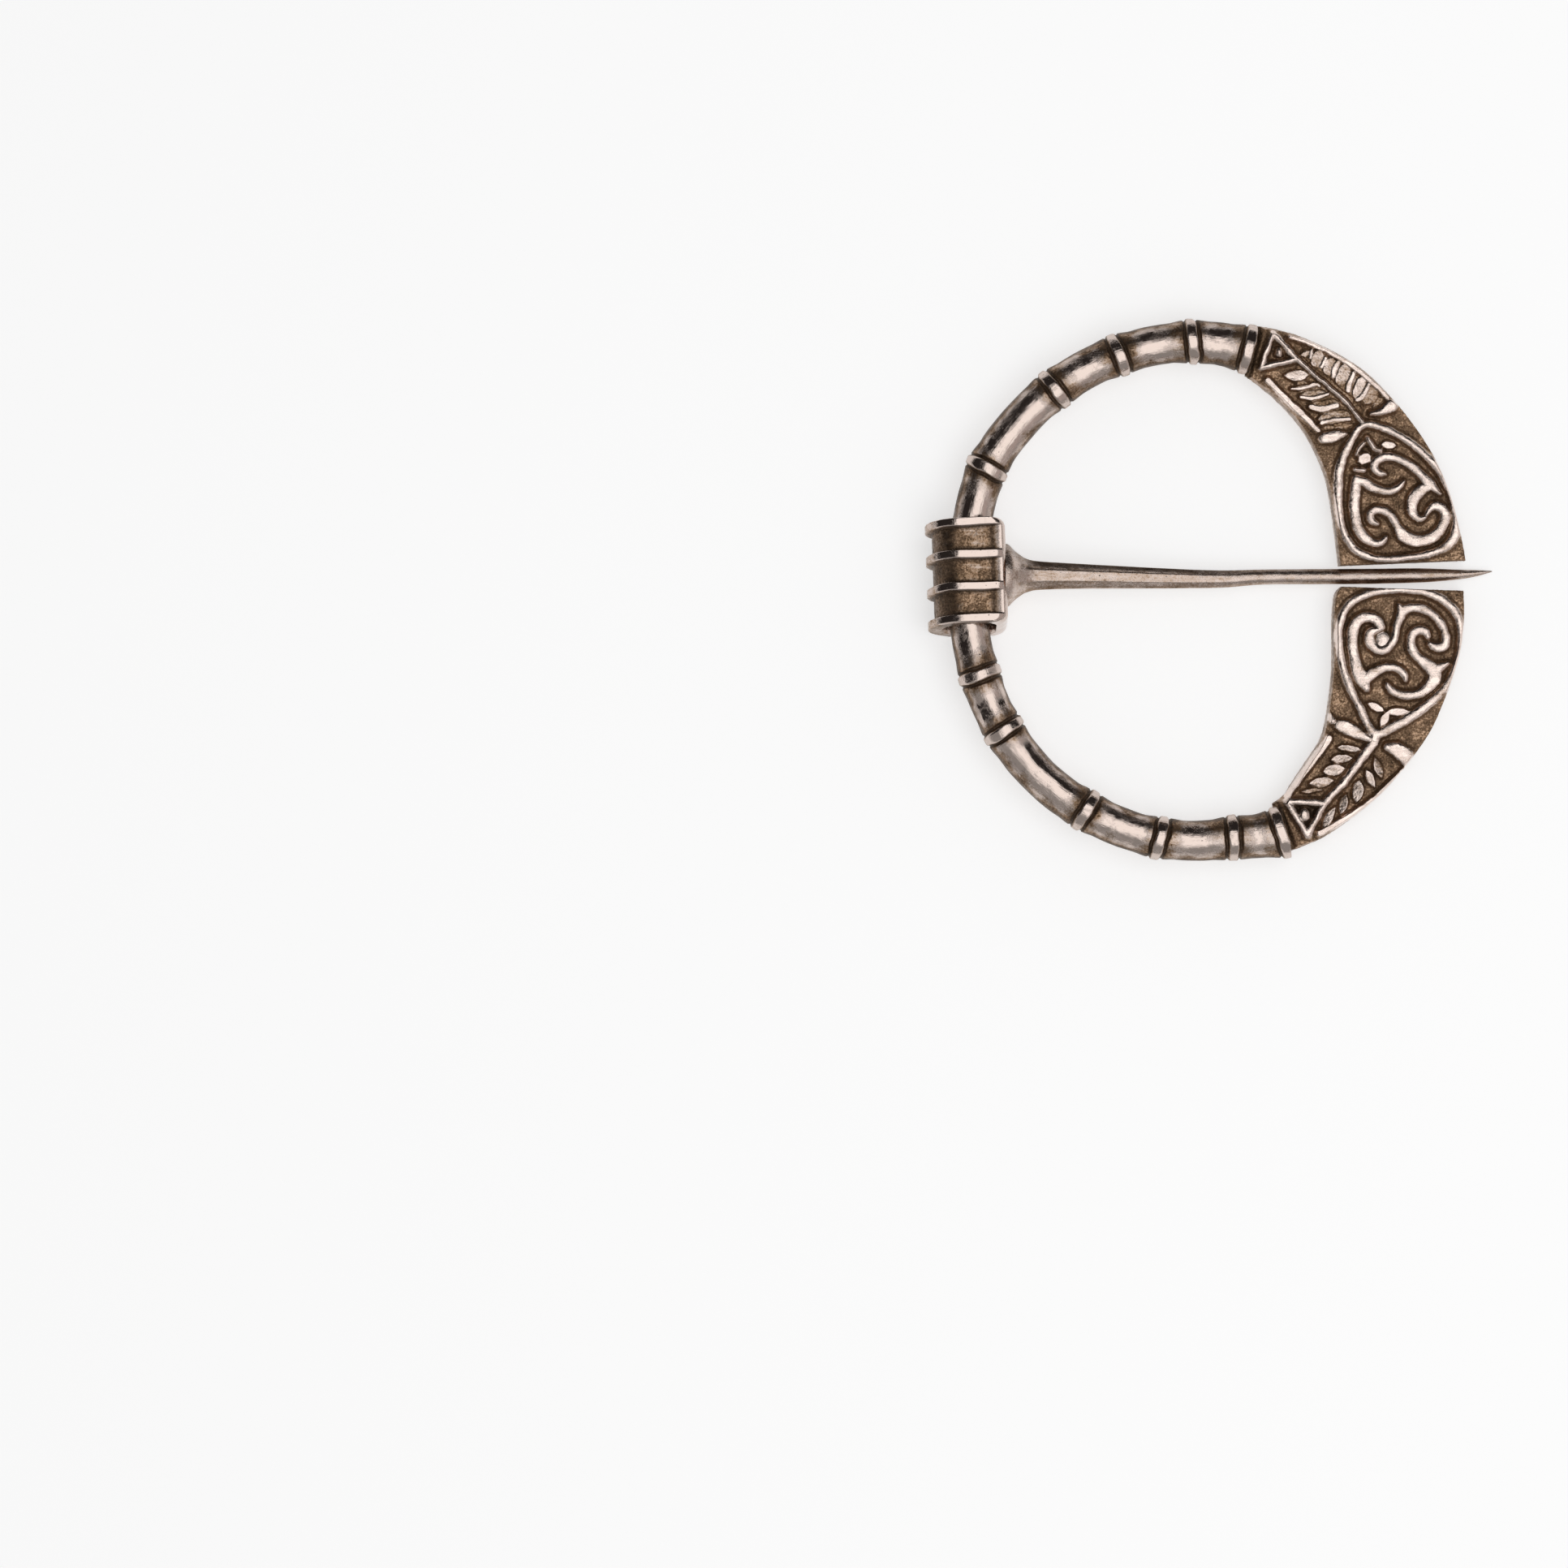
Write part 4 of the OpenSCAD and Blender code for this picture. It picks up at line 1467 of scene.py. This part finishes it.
    def inward(self, rim: np.ndarray) -> np.ndarray:
        """The way inwards from each point of the edge, which draws the four corners in too.

        Args:
            rim: The edge's flat points, in order.

        Returns:
            A flat vector for each point.
        """
        following = np.roll(rim, -1, axis=0)
        side = np.sign(np.sum(rim[:, 0] * following[:, 1] - rim[:, 1] * following[:, 0]))
        ways, start = [], 0
        for count in (self.rows, self.columns, self.rows, self.columns):
            edge = rim[np.arange(start, start + count + 1) % len(rim)]
            along = np.gradient(edge, axis=0)
            along /= np.linalg.norm(along, axis=1)[:, None]
            run = lengths_along(edge)[:, None]
            near = np.clip(1 - run / self.corner_reach, 0, 1)
            far = np.clip(1 - (run[-1] - run) / self.corner_reach, 0, 1)
            normal = np.column_stack([-along[:, 1], along[:, 0]]) * side
            ways.append((normal + along * (near - far))[:-1])
            start += count
        return np.concatenate(ways)

    def close_back(
        self, faces: list[list[int]], blocks: list[np.ndarray], last: np.ndarray
    ) -> None:
        """Closes the flat back with rows from the inner to the outer edge.

        Args:
            faces: The faces so far, which grow.
            blocks: The points so far, which grow.
            last: The numbers of the lowest ring of points, which is the last block.
        """
        rows, columns, cells = self.rows, self.columns, self.back_columns
        share = np.linspace(0, 1, cells + 1)[None, 1:-1, None]
        inner = np.arange(1, rows)
        outer = rows + columns + rows - inner
        fill = blocks[-1][inner][:, None] * (1 - share) + blocks[-1][outer][:, None] * share
        count = fill.shape[0] * fill.shape[1]
        numbers = sum(map(len, blocks)) + np.arange(count).reshape(fill.shape[:2])
        table = np.column_stack([last[inner], numbers, last[outer]])
        blocks.append(fill.reshape(-1, 3))
        faces += net_faces(table)
        each = columns // cells
        gap_edge = last[rows:rows + columns + 1]
        hoop_edge = np.concatenate([last[:1], last[:rows + columns + rows - 1:-1]])
        for edge, row in ((gap_edge, table[-1]), (hoop_edge, table[0])):
            for c in range(cells):
                stretch = edge[c * each:(c + 1) * each + 1].tolist()
                faces.append(stretch + [int(row[c + 1]), int(row[c])])


# The pin


@dataclass
class PinHead:
    """The flattened tube that wraps the hoop, with four ribs and a bar along one side."""

    metal: bpy.types.Material
    middle: tuple[float, float, float] = (-19.98, 1.05, 2.9)
    hollow_x: float = -19.9
    width: float = 6.56
    height: float = 5.78
    length: float = 8.6
    lean: float = 11.0
    turn: float = 2.0
    plan_r: float = 0.75
    rib_count: int = 4
    rib_w: float = 0.72
    rib_side: float = 0.55
    rib_top: float = 0.25
    wall: float = 0.5
    bar_w: float = 0.42
    corner_r: float = 1.0
    edge_soft: float = 0.08
    outer_steps: int = 172
    end_steps: int = 9
    hollow_steps: int = 21
    # How dark the painted shade lies in the panels beside the bar and over their far end
    near_painted_shade: float = 0.8
    far_painted_shade: float = 0.62
    drift: float = 0.3
    drift_per_m: float = 350.0
    foot_reach: float = 0.45
    panel_per_m: float = 700.0

    def outline(self, width: float, height: float, left: float, right: float) -> np.ndarray:
        """A rectangle with round corners of one radius on the left and another on the right.

        Args:
            width: Its whole width.
            height: Its whole height.
            left: The radius of its left corners.
            right: The radius of its right corners.

        Returns:
            The outline's points, in order.
        """
        x, z = width / 2, height / 2
        # Columns: middle, radius, first angle, steps round it, steps to the next corner
        corners = (
            (x - right, z - right, right, 0, 20, 34), (left - x, z - left, left, 90, 54, 1),
            (left - x, left - z, left, 180, 54, 34), (x - right, right - z, right, 270, 20, 46),
        )
        arcs = []
        for x, z, r, first, steps, _ in corners:
            angles = np.radians(np.linspace(first, first + 90, steps + 1))
            arcs.append(np.column_stack([x + r * np.cos(angles), z + r * np.sin(angles)]))
        points = []
        for arc, following, corner in zip(arcs, arcs[1:] + arcs[:1], corners):
            share = np.arange(1, corner[-1])[:, None] / corner[-1]
            points += [arc, arc[-1] + (following[0] - arc[-1]) * share]
        return np.concatenate(points)

    def turned(self, flat: np.ndarray, along: float) -> np.ndarray:
        """Leans and turns the points of an outline at some place along the hoop.

        Args:
            flat: The outline's points.
            along: Where it lies along the hoop.

        Returns:
            The points in three columns, in millimetres.
        """
        turn = math.radians(self.turn)
        y = along + flat[:, 1] * math.tan(math.radians(self.lean))
        return np.column_stack([
            flat[:, 0] * math.cos(turn) - y * math.sin(turn),
            flat[:, 0] * math.sin(turn) + y * math.cos(turn),
            flat[:, 1],
        ])

    def shell(self) -> bpy.types.Object:
        """The plain wrap as a loop of outer face, ends and hollow, which keeps the ribs' lift.

        Returns:
            The wrap without its ribs, for the tree to raise.
        """
        panel_w, panel_h = self.width - 2 * self.rib_side, self.height - 2 * self.rib_top
        panel = self.outline(panel_w, panel_h, panel_h / 2, self.corner_r)
        rib = self.outline(self.width, self.height, self.height / 2, self.corner_r)
        hollow_h = panel_h - 2 * self.wall
        hollow = self.outline(panel_w - 2 * self.wall, hollow_h, hollow_h / 2, self.corner_r)
        hollow[:, 0] += self.hollow_x - self.middle[0]
        half, side = self.length / 2, self.width / 2
        # Columns: outline, place along the hoop, lift of the ribs
        stations = [(panel, v, 1.0) for v in np.linspace(-half, half, self.outer_steps + 1)]
        shares = np.linspace(0.1, 1, self.end_steps)
        stations += [(panel * (1 - s) + hollow * s, half, 1 - s) for s in shares]
        inner = np.linspace(half, -half, self.hollow_steps + 1)[1:-1]
        stations += [(hollow, v, 0.0) for v in inner]
        stations += [(panel * (1 - s) + hollow * s, -half, 1 - s) for s in shares[::-1]]
        points, lifts = [], []
        squeezed = ease(side - 1.4, side - 0.5, rib[:, 0])
        for outline, v, lift in stations:
            depth = np.clip((abs(v) - half + self.plan_r) / self.plan_r, 0, 1)
            inset = self.plan_r * (1 - math.sqrt(1 - depth**2)) * lift
            outline = np.column_stack([outline[:, 0] - inset * squeezed, outline[:, 1]])
            points.append(self.turned(outline, v))
            lifts.append(self.turned((rib - panel) * lift, 0.0))
        bar_x = side - self.bar_w
        bar = ease(bar_x - self.edge_soft, bar_x + self.edge_soft, rib[:, 0])
        # Painted shade darkens the panels beside the bar and over their far end
        near = self.near_painted_shade * ease(bar_x - 0.8, bar_x - 0.1, rib[:, 0])
        far = self.far_painted_shade * (1 - ease(-1.6, -0.9, rib[:, 0]))
        values = {
            "lift": np.concatenate(lifts) * MM,
            "along": np.repeat([v for _, v, _ in stations], len(rib)) * MM,
            "bar": np.tile(bar, len(stations)),
            "darkening": np.tile(np.maximum(near, far), len(stations)),
            "rim": np.tile(1 - ease(0.5 - side, 1.1 - side, rib[:, 0]), len(stations)),
        }
        number = np.arange(len(rib) * len(stations)).reshape(len(stations), len(rib))
        faces = net_faces(np.pad(number, ((0, 1), (0, 1)), "wrap"))
        place = (np.concatenate(points) + np.array(self.middle)) * MM
        return new_piece("pin_head", place, faces, values)

    def tree(self) -> bpy.types.NodeTree:
        """Builds the tree that repeats the ribs along the head.

        Returns:
            A tree with named inputs for the ribs' number, pitch and width.
        """
        web = ShapeTree("ribbed_wrap")
        first, pitch, count, half, edge = web.sizes(
            "First rib", "Pitch", "Ribs", "Rib half width", "Edge softness"
        )
        drift = web.noise(web.place(), self.drift_per_m, 1.0, 9.0) * (self.drift * MM)
        steps = (web.kept("along") + drift - first) / pitch
        nearest = web.maths("MINIMUM", web.maths("ROUND", steps).or_more(0.0), count - 1.0)
        away = abs(steps - nearest) * pitch
        on_rib = web.ease(away, half - edge, half + edge, 1.0, 0.0)
        raised = on_rib.or_more(web.kept("bar"))
        # The panels darken beside each rib: patina in the corners and painted shade
        foot = web.ease(away, half, half + self.foot_reach * MM, 0.9, 0.0)
        panel = web.noise(web.place(), self.panel_per_m, 5.0, 2.0)
        worn = raised * web.ease(web.kept("rim"), 0.0, 1.0, 1.05, 0.45)
        web.keep("relief", worn.or_more(web.ease(panel, -0.12, 0.16, 0.04, 0.26)))
        # The panels also take the painted shade kept with the wrap
        web.keep("hollow", foot.or_more(web.kept("darkening")) * (1.0 - raised))
        web.move(web.kept_arrow("lift") * raised)
        return web.finish()

    def build(self, wear: bpy.types.NodeTree) -> bpy.types.Object:
        """Wraps the head, raises its ribs and wears it.

        Args:
            wear: The tree that dents and roughens a surface.

        Returns:
            The finished head.
        """
        head = run_tree(self.shell(), self.tree(), {
            "First rib": (-self.length / 2 + self.rib_w / 2) * MM,
            "Pitch": (self.length - self.rib_w) / (self.rib_count - 1) * MM,
            "Ribs": float(self.rib_count),
            "Rib half width": self.rib_w / 2 * MM,
            "Edge softness": self.edge_soft * MM,
            "Metal": self.metal,
        })
        return Wear(seed=5.0, grain_mm=0.09).give(head, wear, self.metal)


# The pin's middle line from the head to the point. Columns: x, y, z, radius, and how far its
# eight long facets show.
SHANK = (
    (-17, 1.2, 2.9, 2.7, 0), (-16.55, 1.2, 2.87, 2.56, 0), (-16.1, 1.2, 2.82, 2.12, 0),
    (-15.6, 1.2, 2.77, 1.72, 0), (-15, 1.2, 2.7, 1.44, 0.5), (-13.9, 1.2, 2.6, 1.26, 0.9),
    (-10.5, 1.15, 2.4, 1.1, 1), (-4, 1, 2, 0.9, 1), (0.9, 0.95, 1.72, 0.76, 0.6),
    (4.5, 1.12, 1.5, 0.64, 0.2), (9, 1.16, 1.23, 0.64, 0.1), (13.5, 1.2, 0.97, 0.64, 0.1),
    (17.5, 1.28, 0.74, 0.6, 0), (20.5, 1.35, 0.6, 0.42, 0), (22.2, 1.48, 0.55, 0.25, 0),
    (23.4, 1.62, 0.5, 0.05, 0),
)


@dataclass
class Shank:
    """The collar and the tapered shank of the pin, swept along one line."""

    metal: bpy.types.Material
    sides: int = 64
    facets: int = 8
    step: float = 0.09

    def path(self) -> bpy.types.Object:
        """The shank's middle line with its radius and facets kept at its points.

        Returns:
            A line of edges for the tree to sweep along.
        """
        rows = smooth(SHANK, 12)
        run = lengths_along(rows[:, :3])
        places = np.linspace(0, run[-1], int(run[-1] / self.step))
        rows = np.column_stack([np.interp(places, run, column) for column in rows.T])
        points = rows[:, :3] * MM
        values = {
            "centre": points,
            "radius_kept": rows[:, 3] * MM,
            "faceted": rows[:, 4],
            "run": lengths_along(points),
        }
        return new_path("pin_shank", points, values)

    def tree(self) -> bpy.types.NodeTree:
        """Builds the tree that sweeps the shank and flattens its facets.

        Returns:
            A tree with a named input for the number of facets.
        """
        web = ShapeTree("forged_shank")
        sides, facets = web.size("Sides", "Int"), web.size("Facets")
        radius, faceted = web.kept("radius_kept"), web.kept("faceted")
        web.sweep(sides, radius)
        centre = web.kept_arrow("centre")
        spoke = web.place() - centre
        out = spoke.unit()
        split = web.node("ShaderNodeSeparateXYZ", {0: spoke})
        angle = web.maths("ARCTAN2", *(Wire(web, split.outputs[axis]) for axis in "YZ"))
        wedge = web.maths("DIVIDE", 2 * math.pi, facets)
        half = wedge / 2.0
        off = web.maths("MODULO", angle + (half + 4 * math.pi), wedge) - half
        flat = web.maths("COSINE", half) / web.maths("COSINE", off)
        level = web.ease(faceted, 0.0, 1.0, 0.55, 0.49)
        web.keep("relief", level * web.ease(abs(out.dot(UP)), 0.1, 0.8, 0.45, 1.0))
        # Painted shade darkens the side that faces +Y
        side_shade = web.ease(out.dot(ASIDE), 0.4, 0.75, 0.0, 0.85)
        web.keep("hollow", side_shade * web.ease(faceted, 0.0, 1.0, 0.5, 1.0))
        web.keep_skin(out, UP, radius)
        web.put(centre + spoke * ((flat - 1.0) * faceted + 1.0))
        return web.finish()

    def build(self, wear: bpy.types.NodeTree) -> bpy.types.Object:
        """Sweeps the shank and wears it.

        Args:
            wear: The tree that dents and roughens a surface.

        Returns:
            The finished shank.
        """
        sizes = {"Sides": self.sides, "Facets": float(self.facets), "Metal": self.metal}
        shank = run_tree(self.path(), self.tree(), sizes)
        return Wear(seed=8.0, dent_mm=0.03, grain_mm=0.015).give(shank, wear, self.metal)


# The studio


@dataclass
class Studio:
    """The pale ground, the softbox, the walls for the reflections and the camera."""

    picture_px: float = 1932.0
    px_per_mm: float = 15.0
    origin_px: tuple[float, float] = (1490.0, 727.5)
    camera_height: float = 560.0
    sharp_z: float = 2.2
    sensor: float = 36.0
    ground_w: float = 4.0
    ground_z: float = -0.00002
    softbox_place: tuple[float, float, float] = (0.15, -0.07, 0.55)
    softbox_size: tuple[float, float] = (0.6, 0.74)
    softbox_power: float = 1.16
    wall_r: float = 0.5
    dark_glow: float = 0.03
    pale_glow: float = 0.54
    pale_tint: Colour = (1.0, 0.9, 0.88)
    sky: float = 0.8
    sky_strength: float = 0.45

    def camera(self) -> None:
        """Looks straight down on the middle of the photograph's frame."""
        data = bpy.data.cameras.new("camera")
        data.sensor_width = self.sensor
        data.lens = self.sensor * self.camera_height / (self.picture_px / self.px_per_mm)
        data.clip_start, data.clip_end = 0.01, 20.0
        camera = place_object("camera", data)
        x = (self.picture_px / 2 - self.origin_px[0]) / self.px_per_mm
        y = (self.origin_px[1] - self.picture_px / 2) / self.px_per_mm
        camera.location = Vector((x, y, self.camera_height + self.sharp_z)) * MM
        bpy.context.scene.camera = camera

    def ground(self) -> None:
        """The pale sheet that the brooch lies on."""
        mesh = bpy.data.meshes.new("ground")
        w = self.ground_w / 2
        mesh.from_pydata([(-w, -w, 0), (w, -w, 0), (w, w, 0), (-w, w, 0)], [], [(0, 1, 2, 3)])
        mesh.materials.append(PaperFinish().material())
        card = place_object("ground", mesh)
        card.location.z = self.ground_z

    def softbox(self) -> None:
        """An oval light that faces straight down and doesn't show itself."""
        data = bpy.data.lights.new("softbox", "AREA")
        data.shape, data.energy = "ELLIPSE", self.softbox_power
        data.size, data.size_y = self.softbox_size
        light = place_object("softbox", data)
        light.location = self.softbox_place
        light.visible_camera = False

    def wall(
        self, name: str, span: tuple[float, float], height: tuple[float, float], glow: float
    ) -> None:
        """A curved wall that only reflections see.

        Args:
            name: Its name.
            span: The directions where it starts and ends, in degrees from +X.
            height: Its lower and upper edges, in degrees above the ground.
            glow: How bright it is.
        """
        columns, rows = 25, 7
        points = [
            (
                self.wall_r * math.cos(turn) * math.cos(rise),
                self.wall_r * math.sin(turn) * math.cos(rise),
                self.wall_r * math.sin(rise),
            )
            for turn in np.radians(np.linspace(*span, columns))
            for rise in np.radians(np.linspace(*height, rows))
        ]
        firsts = [rows * i + j for i in range(columns - 1) for j in range(rows - 1)]
        mesh = bpy.data.meshes.new(name)
        mesh.from_pydata(points, [], [(n, n + 1, n + rows + 1, n + rows) for n in firsts])
        mesh.materials.append(plain_material(name, {
            "Base Color": (0.0, 0.0, 0.0, 1.0),
            "Emission Color": (*self.pale_tint, 1.0),
            "Emission Strength": glow,
            "Roughness": 1.0,
            "Specular IOR Level": 0.0,
        }))
        wall = place_object(name, mesh)
        wall.visible_camera = wall.visible_diffuse = wall.visible_shadow = False

    def build(self) -> None:
        """Sets up the whole studio."""
        self.ground()
        self.softbox()
        for first, last, high in ((25, 80, 57), (80, 150, 64), (150, 205, 75)):
            self.wall("dark_wall", (first, last), (0, high), self.dark_glow)
        self.wall("pale_wall", (-50, 15), (12, 44), self.pale_glow)
        world = bpy.data.worlds.new("studio")
        world.use_nodes = True
        sky = world.node_tree.nodes["Background"].inputs
        sky[0].default_value = (self.sky, self.sky, self.sky, 1.0)
        sky[1].default_value = self.sky_strength
        bpy.context.scene.world = world
        bpy.context.scene.view_settings.view_transform = "Standard"
        self.camera()


def dress(piece: bpy.types.Object, body: Body, node: str) -> None:
    """Makes a piece ride on its body and stand for its CAD node.

    Args:
        piece: The finished piece.
        body: The body that it moves with.
        node: The CAD node that it replaces.
    """
    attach(piece, body.value)
    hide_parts(node)
    log.info("%s: %d triangles on %s", piece.name, count_triangles(piece), body.value)


def main() -> None:
    """Builds the brooch's pieces in order and the studio round them."""
    logging.basicConfig(level=logging.INFO, format="%(message)s", stream=sys.stdout)
    plane = RingPlane()
    ring_metal = SilverFinish(Slot.RING.value).material()
    relief_metal = SilverFinish("terminal_silver", bright=(0.8, 0.665, 0.595)).material()
    pin_metal = SilverFinish(Slot.PIN.value, blotch=0.45).material()
    wear = worn_metal_tree()
    dress(Hoop(plane, ring_metal).build(wear), Body.RING, "ring")
    for name, ornament in (("ring_upper_terminal", UPPER), ("ring_lower_terminal", LOWER)):
        terminal = Terminal(name, plane, relief_metal, ornament).build(wear)
        dress(terminal, Body.RING, "ring")
    dress(PinHead(pin_metal).build(wear), Body.PIN, "pin")
    dress(Shank(pin_metal).build(wear), Body.PIN, "pin")
    Studio().build()


if __name__ == "__main__":
    main()
